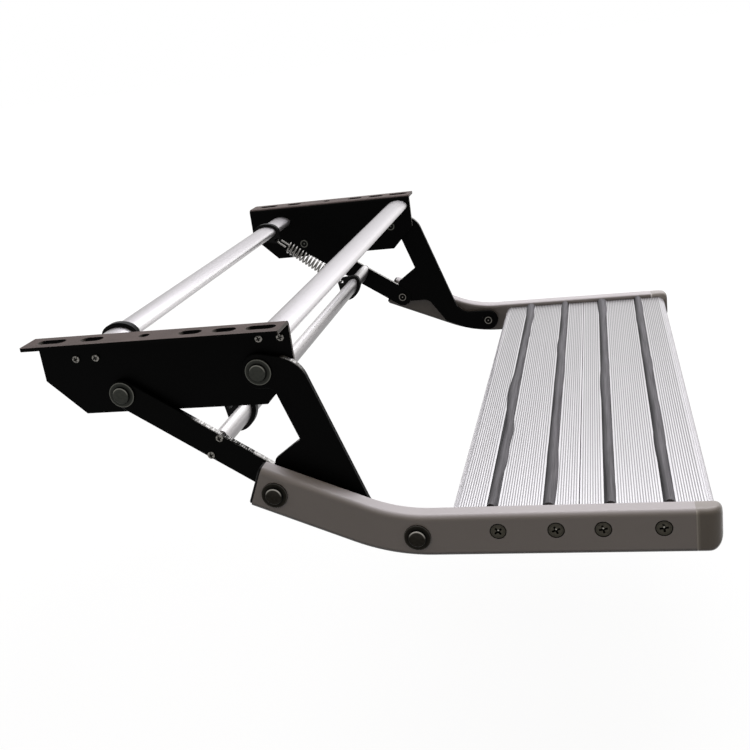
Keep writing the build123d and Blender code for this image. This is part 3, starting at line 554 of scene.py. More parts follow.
for name, bare_from_x_mm, dressed in (
    ("black coated link with bare cut edges", LINK_BARE_FROM_X_MM, "rear_link"),
    ("black coated arm with bare cut edges", ARM_BARE_FROM_X_MM, "front_arm"),
):
    cut_plate, tree, shader, place = new_finish(name, {"Specular IOR Level": 0.03})
    facing = add_node(tree, "ShaderNodeSeparateXYZ", {}, {0: place["Normal"]}).outputs
    spot = add_node(tree, "ShaderNodeSeparateXYZ", {}, {0: place["Object"]}).outputs
    lit_from_above = add_node(tree, "ShaderNodeMapRange", {}, {"Value": facing["Z"], 1: 0.30, 2: 0.78})
    marks_map = add_node(
        tree,
        "ShaderNodeMapping",
        {},
        {
            "Vector": place["Object"],
            "Scale": (pitch(CUT_MARK_MM), pitch(CUT_MARK_RUN_MM), pitch(CUT_MARK_MM)),
        },
    )
    cut_marks = add_node(tree, "ShaderNodeTexNoise", {}, {"Vector": marks_map, "Scale": 1.0, "Detail": 2.0})
    stretch = within(tree, spot, 1.0, COATED_STRETCH_MM)
    flakes = add_node(tree, "ShaderNodeMapRange", {}, {"Value": cut_marks, 1: 0.62, 2: 0.50})
    coated = add_node(tree, "ShaderNodeMath", {"operation": "MULTIPLY"}, {0: stretch, 1: flakes})
    edge_limits_mm = [
        (axis, start_mm - BARE_FADE_MM, start_mm + BARE_FADE_MM)
        for axis, start_mm in (("X", bare_from_x_mm), ("Z", BARE_FROM_Z_MM))
    ]
    # Bare metal only on edges that face up: partly bare cut edges, partly a painted highlight.
    bare = within(tree, spot, lit_from_above, edge_limits_mm)
    bare_and_lit = add_node(
        tree, "ShaderNodeMath", {"operation": "SUBTRACT", "use_clamp": True}, {0: bare, 1: coated}
    )
    hatching = add_node(tree, "ShaderNodeMapRange", {}, {"Value": cut_marks, 1: 0.38, 2: 0.62})
    edge_tone = add_node(
        tree, "ShaderNodeMix", RGBA, {0: hatching, 6: linear(CUT_DARK), 7: linear(CUT_LIGHT)}
    )
    tone = add_node(tree, "ShaderNodeMix", RGBA, {0: bare_and_lit, 6: linear(COAT_BLACK), 7: edge_tone})
    peel = add_node(
        tree, "ShaderNodeTexNoise", {}, {"Vector": place["Object"], "Scale": pitch(PEEL_MM), "Detail": 2.0}
    )
    gloss = add_node(tree, "ShaderNodeMapRange", {}, {"Value": peel, 3: 0.34, 4: 0.50})
    relief = add_node(
        tree, "ShaderNodeBump", {}, {"Height": cut_marks, "Strength": 0.25, "Distance": 0.08 * MM}
    )
    drive(tree, shader, {"Base Color": tone, "Metallic": bare_and_lit, "Roughness": gloss, "Normal": relief})
    dress(cut_plate, *both(dressed))


# Link screws: the same zinc pan heads, two through each link into the ports of the link tube.
# The tube is turned square to the links, so the two stand in a row across the link.
link_tube_centre = middle("link_tube")
rear_pivot = middle("rear_link_pivot_left")
link_run = (link_tube_centre - rear_pivot)[[0, 2]]
link_run = link_run / np.linalg.norm(link_run)
link_across = np.array([-link_run[1], link_run[0]])
link_screw_points = [
    link_tube_centre[[0, 2]] + link_across * side * PORT_OFFSET_MM * MM for side in (-1, 1)
]
for side, outward in SIDES:
    y_face = outward * LINK_OUT_MM * MM
    screws = pan_screws(f"zinc_link_screws_{side}", link_screw_points, y_face, outward)
    hand_over(screws, "rear_links", f"link_screws_{side}")


# Rail pivots: the same flanged pins, but blackened, through the side rails, with spacers behind them.
# The arm's own half of the front pivot ends in a rolled tail inside the arm.
LINK_IN_MM = 276.0
RAIL_OUT_MM = 301.5
OPEN_PIN_MM = LINK_OUT_MM + 0.3
BLACK_RIM_SHARE = 0.08

# Black zinc: chromate dyed black, so a dark dull metal, pale at worn rims, on the tail's ring and middle,
# and where a highlight is painted on the cap's upper edge.
black_zinc = marked_metal(
    "black passivated zinc", grain_mm=2.5, rough=(0.30, 0.46),
    dark="#181613", light="#211f1b", marked="#a5a19a",
)
rear_tail_mm = LINK_IN_MM - SIDE_GAP_MM
full_profile = rivet_profile(rear_tail_mm, RAIL_OUT_MM)
tail_part = full_profile[full_profile[:, 1] < rear_tail_mm + 0.01]
head_part = full_profile[full_profile[:, 1] > RAIL_OUT_MM - 0.01]
rail_half = np.concatenate([[[0, OPEN_PIN_MM], [PIN_RADIUS_MM, OPEN_PIN_MM]], head_part])
arm_half = np.concatenate([tail_part, [[PIN_RADIUS_MM, LINK_OUT_MM], [0, LINK_OUT_MM]]])
for name, body, profile in (
    ("rail_rear_pivot", "tread", full_profile),
    ("rail_front_pivot", "tread", rail_half),
    ("arm_foot_pin", "front_arms", arm_half),
):
    marks = worn_and_lit_marks(profile, rear_tail_mm, RAIL_OUT_MM, BLACK_RIM_SHARE)
    for side, outward in SIDES:
        at = middle(f"{name}_{side}")
        grid = turned(profile, (at[0], 0.0, at[2]), outward)
        pin = make_piece(f"black_{name}_{side}", [grid], black_zinc, [marks])
        hand_over(pin, body, f"{name}_{side}")
dress(black_zinc, *both("rear_pivot_spacer"), *both("front_pivot_spacer"))


# Side rails: bent box tube in a pale satin coat, which carries the planks between them.
# The coat is sprayed, so it is smooth with a faint fine grain and soft highlights along its edges. The
# inner faces beside the planks and the undersides are painted darker as shade.
SPRAY_MM = 0.9
DRIFT_MM = 45.0
RAIL_DARK = "#c6c1c2"
RAIL_LIGHT = "#cfcacb"
RAIL_INNER_SHADE = "#7e7874"
RAIL_UNDER_SHADE = "#4a4541"
rail_coat, tree, shader, place = new_finish("pale grey satin coat", {"Specular IOR Level": 0.30})
spray = add_node(
    tree, "ShaderNodeTexNoise", {}, {"Vector": place["Object"], "Scale": pitch(SPRAY_MM), "Detail": 3.0}
)
drift = add_node(
    tree, "ShaderNodeTexNoise", {}, {"Vector": place["Object"], "Scale": pitch(DRIFT_MM), "Detail": 3.0}
)
tone = add_node(tree, "ShaderNodeMix", RGBA, {0: drift, 6: linear(RAIL_DARK), 7: linear(RAIL_LIGHT)})
facing = add_node(tree, "ShaderNodeSeparateXYZ", {}, {0: place["Normal"]}).outputs
spot = add_node(tree, "ShaderNodeSeparateXYZ", {}, {0: place["Object"]}).outputs
side = add_node(tree, "ShaderNodeMath", {"operation": "SIGN"}, {0: spot["Y"]})
outward_share = add_node(tree, "ShaderNodeMath", {"operation": "MULTIPLY"}, {0: side, 1: facing["Y"]})
# Painted shade: darker on the faces that look inward and on the undersides.
inner = add_node(tree, "ShaderNodeMapRange", {}, {"Value": outward_share, 1: -0.55, 2: -0.85})
inner_shaded = add_node(tree, "ShaderNodeMix", RGBA, {0: inner, 6: tone, 7: linear(RAIL_INNER_SHADE)})
under = add_node(tree, "ShaderNodeMapRange", {}, {"Value": facing["Z"], 1: -0.05, 2: -0.5})
under_shaded = add_node(tree, "ShaderNodeMix", RGBA, {0: under, 6: inner_shaded, 7: linear(RAIL_UNDER_SHADE)})
gloss = add_node(tree, "ShaderNodeMapRange", {}, {"Value": spray, 3: 0.30, 4: 0.42})
relief = add_node(tree, "ShaderNodeBump", {}, {"Height": spray, "Strength": 0.12, "Distance": 0.03 * MM})
drive(tree, shader, {"Base Color": under_shaded, "Roughness": gloss, "Normal": relief})
dress(rail_coat, *both("side_rail"))


# Rail ends: a glossy grey moulded cap closes each front end, and a black plug each rear end.
# The cap is drawn in at its outer corner, its top and its underside, so it is one soft nose, and a pale
# line round its rear edge, which shows on the sides, is a painted highlight.
CAP_LENGTH_MM = 19.4
CAP_FLAT_MM = 3.0
CAP_CORNER_MM = 12.0
CAP_TOP_MM = 6.0
CAP_UNDER_MM = 9.5
RAIL_EDGE_MM = 4.6
RAIL_WIDTH_MM = 18.0
RAIL_HEIGHT_MM = 35.0
REAR_HIGHLIGHT_MM = 0.7
SINK_MM = 6.0
CAP_GREY = "#a7a19b"
CAP_TOP_LIGHT = "#b9b4b0"
REAR_EDGE_HIGHLIGHT = "#f8f5f2"
PLUG_FINE_MM = 0.7
PLUG_BLACK = "#0a0a0a"


def nose_shell(front_x, outer_y, top_z, outward):
    """A moulded nose: along the cap the rounded rectangle of the rail shrinks from its outer side, top and
    underside by radius minus the root of radius squared less distance squared, as a quarter circle does
    where that radius is left to the front. Rows run along the cap, and columns go round the section."""
    line_rows = np.array([0, 0.5, 1.0, 1.5]) * REAR_HIGHLIGHT_MM
    round_rows = CAP_FLAT_MM + (CAP_LENGTH_MM - CAP_FLAT_MM) * np.sin(np.linspace(0, pi / 2, 40))
    along = np.concatenate([line_rows, round_rows])
    left = CAP_LENGTH_MM - along

    def drawn_in(radius):
        reach = np.clip(radius - left, 0, radius)
        return radius - np.sqrt(np.maximum(radius**2 - reach**2, 0))

    width = RAIL_WIDTH_MM - drawn_in(CAP_CORNER_MM)
    top = -drawn_in(CAP_TOP_MM)
    bottom = -RAIL_HEIGHT_MM + drawn_in(CAP_UNDER_MM)
    quarter = np.linspace(0, pi / 2, 10)
    turn = np.concatenate([quarter + k * pi / 2 for k in range(4)])
    corner_y = np.repeat([1, -1, -1, 1], 10)
    corner_z = np.repeat([1, 1, -1, -1], 10)
    edge = np.minimum(RAIL_EDGE_MM, width / 2.2)[:, None]
    half_width = (width / 2)[:, None] - edge
    half_height = ((top - bottom) / 2)[:, None] - edge
    across = half_width * corner_y + edge * np.cos(turn)
    up = half_height * corner_z + edge * np.sin(turn)
    inner_y = outer_y - outward * RAIL_WIDTH_MM * MM
    y = inner_y + outward * ((width / 2)[:, None] + across) * MM
    z = top_z + (((top + bottom) / 2)[:, None] + up) * MM
    x = front_x - (left * MM)[:, None] + 0 * y
    shell = np.stack([x, y, z], -1)
    back = shell[:1].mean(axis=1, keepdims=True) + 0 * shell[:1]
    tip = shell[-1:].mean(axis=1, keepdims=True) + 0 * shell[-1:]
    rear_highlight = np.clip(2 - along / REAR_HIGHLIGHT_MM, 0, 1)[:, None] + 0 * y
    return np.concatenate([back, shell, tip]), np.concatenate([rear_highlight[:1], rear_highlight, rear_highlight[-1:]])


# Cap plastic: smooth injection-moulded resin with slight sink marks, painted lighter on its top where the
# light falls.
cap_plastic, tree, shader, place = new_finish("glossy grey moulding", {"Specular IOR Level": 0.16})
sink = add_node(
    tree, "ShaderNodeTexNoise", {}, {"Vector": place["Object"], "Scale": pitch(SINK_MM), "Detail": 2.0}
)
mark = add_node(tree, "ShaderNodeAttribute", {"attribute_name": "mark"}, {}).outputs["Fac"]
facing = add_node(tree, "ShaderNodeSeparateXYZ", {}, {0: place["Normal"]}).outputs
lit_from_above = add_node(tree, "ShaderNodeMapRange", {}, {"Value": facing["Z"], 1: 0.6, 2: 0.95})
# Painted highlight: a pale line round the rear edge, from the mark.
edge_highlighted = add_node(tree, "ShaderNodeMix", RGBA, {0: mark, 6: linear(CAP_GREY), 7: linear(REAR_EDGE_HIGHLIGHT)})
# Painted light: the top is lighter where it faces up.
tone = add_node(tree, "ShaderNodeMix", RGBA, {0: lit_from_above, 6: edge_highlighted, 7: linear(CAP_TOP_LIGHT)})
gloss = add_node(tree, "ShaderNodeMapRange", {}, {"Value": sink, 3: 0.13, 4: 0.20})
relief = add_node(tree, "ShaderNodeBump", {}, {"Height": sink, "Strength": 0.10, "Distance": 0.2 * MM})
drive(tree, shader, {"Base Color": tone, "Roughness": gloss, "Normal": relief})
for side, outward in SIDES:
    low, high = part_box(f"rail_end_cap_{side}")
    outer_y = high.y if outward > 0 else low.y
    shell, rear_highlight = nose_shell(high.x, outer_y, high.z, outward)
    cap = make_piece(f"moulded_cap_{side}", [shell], cap_plastic, [rear_highlight])
    hand_over(cap, "tread", f"rail_end_cap_{side}")

# Plug plastic: black polyamide with a fine moulded grain, for the plugs and the spring clips.
plug_plastic, tree, shader, place = new_finish(
    "black moulding", {"Base Color": linear(PLUG_BLACK), "Specular IOR Level": 0.08}
)
grain = add_node(
    tree, "ShaderNodeTexNoise", {}, {"Vector": place["Object"], "Scale": pitch(PLUG_FINE_MM), "Detail": 3.0}
)
gloss = add_node(tree, "ShaderNodeMapRange", {}, {"Value": grain, 3: 0.30, 4: 0.50})
relief = add_node(tree, "ShaderNodeBump", {}, {"Height": grain, "Strength": 0.2, "Distance": 0.05 * MM})
drive(tree, shader, {"Roughness": gloss, "Normal": relief})
dress(plug_plastic, *both("rail_end_plug"), *both("tube_clip"), *both("link_clip"))


# Tread planks: two hollow aluminium extrusions, ribbed along their length and anodised.
# Rib tops are rubbed bright, most of all on the rounded outer edges. The groove floors between them and
# The groove floors between them are painted a darker grey as shade, the outer sides are a darker grey,
# and the slots of the grip strips are painted near black as shade.
GROOVE_DEPTH_MM = 0.6
LEVEL_NORMAL = 0.98
SLOT_HALF_MM = 4.6
SLOT_SHADE_DEPTH_MM = 1.5
DRAW_LINE_MM = 1.0
DRAW_LINE_RUN_MM = 120.0
RIB_DARK = "#c2c0c1"
RIB_LIGHT = "#d1cfd0"
EDGE_BRIGHT = "#e4e2e4"
SIDE_DULL = "#858385"
GROOVE_SHADE_GREY = "#8f8d8e"
SLOT_SHADE = "#1c1b1b"
plank_metal, tree, shader, place = new_finish("anodised ribbed aluminium", {"Metallic": 1.0})
plank_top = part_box("front_plank")[1].z
strip_names = [f"grip_strip_{number}" for number in (1, 2, 3, 4)]
spot = add_node(tree, "ShaderNodeSeparateXYZ", {}, {0: place["Object"]}).outputs
depth = add_node(tree, "ShaderNodeMath", {"operation": "SUBTRACT"}, {0: plank_top, 1: spot["Z"]})
facing = add_node(tree, "ShaderNodeSeparateXYZ", {}, {0: place["Normal"]}).outputs
level = add_node(tree, "ShaderNodeMath", {"operation": "GREATER_THAN"}, {0: facing["Z"], 1: LEVEL_NORMAL})
below_ribs = add_node(
    tree,
    "ShaderNodeMath",
    {"operation": "COMPARE"},
    {0: depth, 1: GROOVE_DEPTH_MM * MM, 2: GROOVE_DEPTH_MM / 2 * MM},
)
groove_floor = add_node(tree, "ShaderNodeMath", {"operation": "MULTIPLY"}, {0: level, 1: below_ribs})
deep = add_node(tree, "ShaderNodeMath", {"operation": "GREATER_THAN"}, {0: depth, 1: SLOT_SHADE_DEPTH_MM * MM})
in_slot = 0.0
for name in strip_names:
    beside = add_node(
        tree,
        "ShaderNodeMath",
        {"operation": "COMPARE"},
        {0: spot["X"], 1: middle(name)[0], 2: SLOT_HALF_MM * MM},
    )
    in_slot = add_node(tree, "ShaderNodeMath", {"operation": "MAXIMUM"}, {0: beside, 1: in_slot})
slot_shade = add_node(tree, "ShaderNodeMath", {"operation": "MULTIPLY"}, {0: deep, 1: in_slot})
lines_map = add_node(
    tree,
    "ShaderNodeMapping",
    {},
    {
        "Vector": place["Object"],
        "Scale": (pitch(DRAW_LINE_MM), pitch(DRAW_LINE_RUN_MM), pitch(DRAW_LINE_MM)),
    },
)
draw_lines = add_node(tree, "ShaderNodeTexNoise", {}, {"Vector": lines_map, "Scale": 1.0, "Detail": 3.0})
bright_tone = add_node(
    tree, "ShaderNodeMix", RGBA, {0: draw_lines, 6: linear(RIB_DARK), 7: linear(RIB_LIGHT)}
)
sideways = add_node(tree, "ShaderNodeMath", {"operation": "ABSOLUTE"}, {0: facing["X"]})
edge_rub = add_node(tree, "ShaderNodeMapRange", {}, {"Value": sideways, 1: 0.05, 2: 0.45})
edge_dull = add_node(tree, "ShaderNodeMapRange", {}, {"Value": sideways, 1: 0.82, 2: 0.97})
edge_tone = add_node(
    tree, "ShaderNodeMix", RGBA, {0: edge_dull, 6: linear(EDGE_BRIGHT), 7: linear(SIDE_DULL)}
)
rib_tone = add_node(tree, "ShaderNodeMix", RGBA, {0: edge_rub, 6: bright_tone, 7: edge_tone})
# Painted shade on the groove floors.
ribbed = add_node(tree, "ShaderNodeMix", RGBA, {0: groove_floor, 6: rib_tone, 7: linear(GROOVE_SHADE_GREY)})
# Painted shade in the slots beside the grip strips.
tone = add_node(tree, "ShaderNodeMix", RGBA, {0: slot_shade, 6: ribbed, 7: linear(SLOT_SHADE)})
gloss = add_node(tree, "ShaderNodeMapRange", {}, {"Value": draw_lines, 3: 0.30, 4: 0.42})
drive(tree, shader, {"Base Color": tone, "Roughness": gloss})
dress(plank_metal, "front_plank", "rear_plank")


# Grip strips: soft grey rubber pulled into the four slots, so their edges wander a little.
# Each stands proud as a round back with fine lengthwise ribs, and its ends are pushed up by the rails.
STRIP_HALF_MM = 4.1
STRIP_DEPTH_MM = 2.4
STRIP_PROUD_MM = 2.8
STRIP_END_LIFT_MM = 1.3
STRIP_END_RUN_MM = 8.0
STRIP_RIB_MM = 1.3
STRIP_RIB_HEIGHT_MM = 0.1
STRIP_WANDER_MM = 1.0
STRIP_WAVES_MM = (70.0, 400.0)
STRIP_WAVE_COUNT = 5
STRIP_LIP_MM = 0.06
STREAK_MM = 1.1
STREAK_RUN_MM = 40.0
STRIP_DARK = "#525153"
STRIP_LIGHT = "#7a787c"
STRIP_SHADE = "#1e1d1e"
strip_seeds = np.random.default_rng(7)


def grip_strip(centre_x, y_low, y_high):
    """A closed strip: columns go round its section and rows along Y. The top is half an ellipse plus a
    cosine of small ribs, and it rises at both ends by an exponential of the distance to the nearer end.
    Its two lips wander by sums of slow sine waves, and below the plank's surface the section is the slot's
    own rectangle. The marks returned with it are painted shade: they grow from the middle to the rear lip
    and are slight at the front lip."""
    y = np.linspace(y_low, y_high, 260)[:, None]
    waves = strip_seeds.uniform(*STRIP_WAVES_MM, (2, 1, 1, STRIP_WAVE_COUNT)) * MM
    phases = strip_seeds.uniform(0, 2 * pi, (2, 1, 1, STRIP_WAVE_COUNT))
    wander = np.sin(2 * pi * y[:, :, None] / waves + phases).sum(-1)
    lip_low, lip_high = wander * STRIP_WANDER_MM / 2
    sweep = np.linspace(pi, 0, 41)[None, :]
    across = np.cos(sweep)
    middle_x = (lip_high - lip_low) / 2
    half = STRIP_HALF_MM + (lip_high + lip_low) / 2
    from_end = np.minimum(y - y_low, y_high - y) / MM
    crown = STRIP_PROUD_MM + STRIP_END_LIFT_MM * np.exp(-from_end / STRIP_END_RUN_MM)
    ribs = STRIP_RIB_HEIGHT_MM * np.cos(2 * pi * across * STRIP_HALF_MM / STRIP_RIB_MM) * np.sin(sweep)
    rise = STRIP_LIP_MM + (crown - STRIP_LIP_MM - STRIP_RIB_HEIGHT_MM) * np.sin(sweep) + ribs
    top = np.stack([middle_x + half * across, y / MM + 0 * across, rise], -1)
    slot_x = np.array([1, 1, -1, -1]) * STRIP_HALF_MM
    slot_z = np.array([STRIP_LIP_MM / 2, -STRIP_DEPTH_MM, -STRIP_DEPTH_MM, STRIP_LIP_MM / 2])
    under = np.stack([slot_x + 0 * y, y / MM + 0 * slot_x, slot_z + 0 * y], -1)
    ring = np.concatenate([top, under], axis=1) * MM + np.array([centre_x, 0, plank_top])
    first = ring[:1].mean(axis=1, keepdims=True) + 0 * ring[:1]
    last = ring[-1:].mean(axis=1, keepdims=True) + 0 * ring[-1:]
    closed = np.concatenate([first, ring, last])
    side = np.concatenate([across[0], [1, 1, -1, -1]])
    lip_shade = 0.95 * np.clip((0.05 - side) / 0.95, 0, 1) + 0.15 * np.clip((side - 0.80) / 0.15, 0, 1)
    return closed, lip_shade + 0 * closed[..., 0]


# Strip rubber: dull thermoplastic rubber with drawn streaks along its length.
strip_rubber, tree, shader, place = new_finish("soft grey rubber", {"Specular IOR Level": 0.15})
streak_map = add_node(
    tree,
    "ShaderNodeMapping",
    {},
    {"Vector": place["Object"], "Scale": (pitch(STREAK_MM), pitch(STREAK_RUN_MM), pitch(STREAK_MM))},
)
streaks = add_node(tree, "ShaderNodeTexNoise", {}, {"Vector": streak_map, "Scale": 1.0, "Detail": 4.0})
spread = add_node(tree, "ShaderNodeMapRange", {}, {"Value": streaks, 1: 0.3, 2: 0.7})
unshaded = add_node(tree, "ShaderNodeMix", RGBA, {0: spread, 6: linear(STRIP_DARK), 7: linear(STRIP_LIGHT)})
mark = add_node(tree, "ShaderNodeAttribute", {"attribute_name": "mark"}, {}).outputs["Fac"]
# Painted shade along the rear lip and, slightly, the front lip, from the mark.
tone = add_node(tree, "ShaderNodeMix", RGBA, {0: mark, 6: unshaded, 7: linear(STRIP_SHADE)})
gloss = add_node(tree, "ShaderNodeMapRange", {}, {"Value": streaks, 3: 0.45, 4: 0.65})
drive(tree, shader, {"Base Color": tone, "Roughness": gloss})
for name in strip_names:
    low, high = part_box(name)
    strip_grid, lip_shade = grip_strip((low.x + high.x) / 2, low.y, high.y)
    strip = make_piece(f"rubber_{name}", [strip_grid], strip_rubber, [lip_shade])
    hand_over(strip, "tread", name)


# Tread screws: countersunk cross screws in gunmetal plating, four through each rail into the planks.
# The ring round each head and its cross are painted dark as shade, a fine ring on its face is darker too,
# and the cross's middle has a painted highlight.
TREAD_HEAD_RADIUS_MM = 6.5
TREAD_HEAD_DEPTH_MM = 3.2
TREAD_HEAD_PROUD_MM = 0.05
TREAD_CROSS_MM = 6.6
TREAD_CROSS_BAR_MM = 1.5
TREAD_CROSS_DEPTH_MM = 1.6
TREAD_FINE_MM = 4.4
SHADE_RING_MM = 1.1
FACE_RING_MM = 4.7
HIGHLIGHT_MIDDLE_MM = 0.75
TREAD_SHANK_RADIUS_MM = 3.0
TREAD_SHANK_MM = 42.0
SCREW_FROM_JOINT_MM = (-60.4, -17.2, 17.2, 60.4)
SCREW_TURNS = np.radians([38, 22, 12, 8])
TREAD_RIM_MM = TREAD_HEAD_RADIUS_MM - 0.05

# Gunmetal: a dark nickel plating over steel, mottled where it was handled.
gunmetal = marked_metal(
    "gunmetal plated steel", grain_mm=1.5, rough=(0.28, 0.45),
    dark="#302e29", light="#423f38", marked="#a8a59d",
)
fine_rows = np.linspace(0, TREAD_FINE_MM, 26)
rim_rows = np.linspace(TREAD_FINE_MM + 0.2, TREAD_RIM_MM, 12)
head_rows = np.concatenate([fine_rows, rim_rows])
flat_top = np.stack([head_rows, 0 * head_rows + TREAD_HEAD_PROUD_MM], -1)
tread_profile = np.concatenate(
    [
        flat_top,
        rounded_corners(
            [
                (TREAD_RIM_MM, TREAD_HEAD_PROUD_MM - 0.04, 0.02),
                (TREAD_HEAD_RADIUS_MM - 0.3, -0.1, 0.05),
                (TREAD_SHANK_RADIUS_MM, -TREAD_HEAD_DEPTH_MM, 0.1),
                (TREAD_SHANK_RADIUS_MM, -TREAD_SHANK_MM, 0.3),
                (0, -TREAD_SHANK_MM, 0),
            ]
        ),
    ]
)
on_face = tread_profile[:, 1:] > TREAD_HEAD_PROUD_MM - 0.03
from_middle = tread_profile[:, :1]
shaded_rim_ring = np.clip((from_middle - TREAD_HEAD_RADIUS_MM + SHADE_RING_MM) / 0.25, 0, 1)
face_ring = 0.35 * bell(from_middle - FACE_RING_MM, 0.35) * on_face
painted_highlight_middle = bell(from_middle, HIGHLIGHT_MIDDLE_MM) * on_face
joint_x = (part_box("front_plank")[0].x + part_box("rear_plank")[1].x) / 2
for side, outward in SIDES:
    screw_z = middle(f"tread_screws_{side}")[2]
    grids = []
    marks = []
    for offset, turn in zip(SCREW_FROM_JOINT_MM, SCREW_TURNS):
        centre = (joint_x + offset * MM, outward * RAIL_OUT_MM * MM, screw_z)
        head = turned(tread_profile, centre, outward, spokes=72)
        press = cross_press(head, centre, TREAD_CROSS_MM, TREAD_CROSS_BAR_MM, turn) * on_face
        head[..., 1] -= outward * press * TREAD_CROSS_DEPTH_MM * MM
        grids.append(head)
        # Painted shade in the ring and cross, and a painted highlight at the middle.
        hollows = np.maximum(press, np.maximum(shaded_rim_ring, face_ring))
        marks.append(np.where(painted_highlight_middle > 0.3, 0.8 * painted_highlight_middle, -RECESS_SHADE * hollows))
    screws = make_piece(f"gunmetal_tread_screws_{side}", grids, gunmetal, marks, sharp_deg=35)
    hand_over(screws, "tread", f"tread_screws_{side}")


# Springs: bright steel wire wound to an open coil with a long loop at each end, hooked in the clips.
# They pull the link tube toward the rear tube, so they shorten as the step folds.
WIRE_RADIUS_MM = 1.0
COIL_RADIUS_MM = 6.5
COIL_TURNS = 14
LOOP_MM = 16.0
LUG_REACH_MM = 7.0
TUBE_WIDTH_MM = 26.0
TUBE_HEIGHT_MM = 14.2
SPRING_LINE_MM = 210.0
rear_tube_centre = tube_centres[0]
spring_run = (link_tube_centre - rear_tube_centre) * np.array([1, 0, 1])
spring_axis = spring_run / np.linalg.norm(spring_run)


def lug_length(long_axis):
    """From a tube's middle to its clip's eye in mm: the oval's radius along the spring, plus the lug."""
    along = spring_axis @ long_axis
    across = np.sqrt(1 - along**2)
    half_width, half_height = TUBE_WIDTH_MM / 2, TUBE_HEIGHT_MM / 2
    return half_width * half_height / np.hypot(half_height * along, half_width * across) + LUG_REACH_MM


rear_lug_mm = lug_length(np.array([1, 0, 0]))
link_lug_mm = lug_length(np.array([link_across[0], 0, link_across[1]]))
eye_span_mm = np.linalg.norm(spring_run) / MM - rear_lug_mm - link_lug_mm
coil_length_mm = eye_span_mm - 2 * LOOP_MM


def spring_wire():
    """The wire's middle line as (along, side, lift) in mm from the rear eye: half a circle and a straight
    leg at each end, and between them a helix whose angle grows evenly along the axis."""
    half = np.linspace(-pi / 2, pi / 2, 24)
    loop = np.stack([COIL_RADIUS_MM * (1 - np.cos(half)), 0 * half, COIL_RADIUS_MM * np.sin(half)], -1)
    leg = np.linspace(COIL_RADIUS_MM, LOOP_MM, 8)[1:-1]
    short_leg = np.stack([leg[::-1], 0 * leg, 0 * leg - COIL_RADIUS_MM], -1)
    long_leg = np.stack([leg, 0 * leg, 0 * leg + COIL_RADIUS_MM], -1)
    t = np.linspace(0, 1, COIL_TURNS * 40)
    angle = 2 * pi * COIL_TURNS * t
    coil_along = LOOP_MM + coil_length_mm * t
    coil = np.stack([coil_along, COIL_RADIUS_MM * np.sin(angle), COIL_RADIUS_MM * np.cos(angle)], -1)
    start = np.concatenate([short_leg, loop, long_leg])
    finish = start[::-1] * np.array([-1, 1, 1]) + np.array([eye_span_mm, 0, 0])
    return np.concatenate([start, coil, finish])


def round_wire(path, radius):
    """A tube of circles about a path: each circle lies across the path's direction, spanned by the part
    of a fixed vector that is square to that direction and by their cross product. Its ends are closed."""
    direction = np.gradient(path, axis=0)
    direction /= np.linalg.norm(direction, axis=1, keepdims=True)
    fixed = np.array([0.13, 0.97, 0.2])
    first = fixed - direction * (direction @ fixed)[:, None]
    first /= np.linalg.norm(first, axis=1, keepdims=True)
    second = np.cross(direction, first)
    angle = np.linspace(0, 2 * pi, 12, endpoint=False)[None, :, None]
    tube = path[:, None] + radius * (np.cos(angle) * first[:, None] + np.sin(angle) * second[:, None])
    start = path[:1, None] + 0 * tube[:1]
    end = path[-1:, None] + 0 * tube[-1:]
    return np.concatenate([start, tube, end])


# Spring wire: hard-drawn steel, bright along the wire and slightly mottled by its zinc.
spring_steel = marked_metal(
    "bright drawn spring wire", grain_mm=1.2, rough=(0.14, 0.28),
    dark="#55534f", light="#8b8985", marked="#3a3937",
)
wire_line = spring_wire()
lift_axis = np.array([-spring_axis[2], 0, spring_axis[0]])
for side, outward in SIDES:
    rear_eye = rear_tube_centre + spring_axis * rear_lug_mm * MM
    rear_eye = np.array([rear_eye[0], outward * SPRING_LINE_MM * MM, rear_eye[2]])
    axes = np.stack([spring_axis, lift_axis, np.array([0, outward, 0])])
    path = rear_eye + (wire_line * MM) @ axes
    spring = make_piece(f"steel_spring_{side}", [round_wire(path, WIRE_RADIUS_MM * MM)], spring_steel)
    hand_over(spring, "springs", f"spring_{side}")
    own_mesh(spring)


# Studio: a pale floor well below the step, one wide soft lamp overhead, and a white surround.
# The surround and floor are white to the eye and to reflections, and dim as light on the object. That
# dim light grows with height, as it does in a room with a pale ceiling.
FLOOR_DROP = 0.28
FLOOR_SIZE = 30.0
FLOOR_GLOW = 0.925
AMBIENT_LEVEL = 0.03
AMBIENT_ABOVE = 0.36
AMBIENT_WARM = "#fff1de"
FLOOR_PAINT = "#5a5a5a"
FLOOR_BRIM = (0.6, 1.7)
LAMP_POWER = 33.0
LAMP_SIZE = (2.2, 1.4)
LAMP_COLOUR = "#f8f8ff"
LAMP_PLACE = (0.50, 0.75, 1.35)
LAMP_TILT = radians(-24)
floor_z = cad_box[0].z - FLOOR_DROP
corners = [(-1, -1), (1, -1), (1, 1), (-1, 1)]
floor_mesh = bpy.data.meshes.new("studio_floor")
floor_mesh.from_pydata([(x * FLOOR_SIZE, y * FLOOR_SIZE, floor_z) for x, y in corners], [], [(0, 1, 2, 3)])
floor = bpy.data.objects.new("studio_floor", floor_mesh)
bpy.context.scene.collection.objects.link(floor)
floor_paint = bpy.data.materials.new("pale studio floor")
floor_paint.use_nodes = True
world = bpy.data.worlds.new("white studio")
bpy.context.scene.world = world
world.use_nodes = True
seen_by_eye = {}
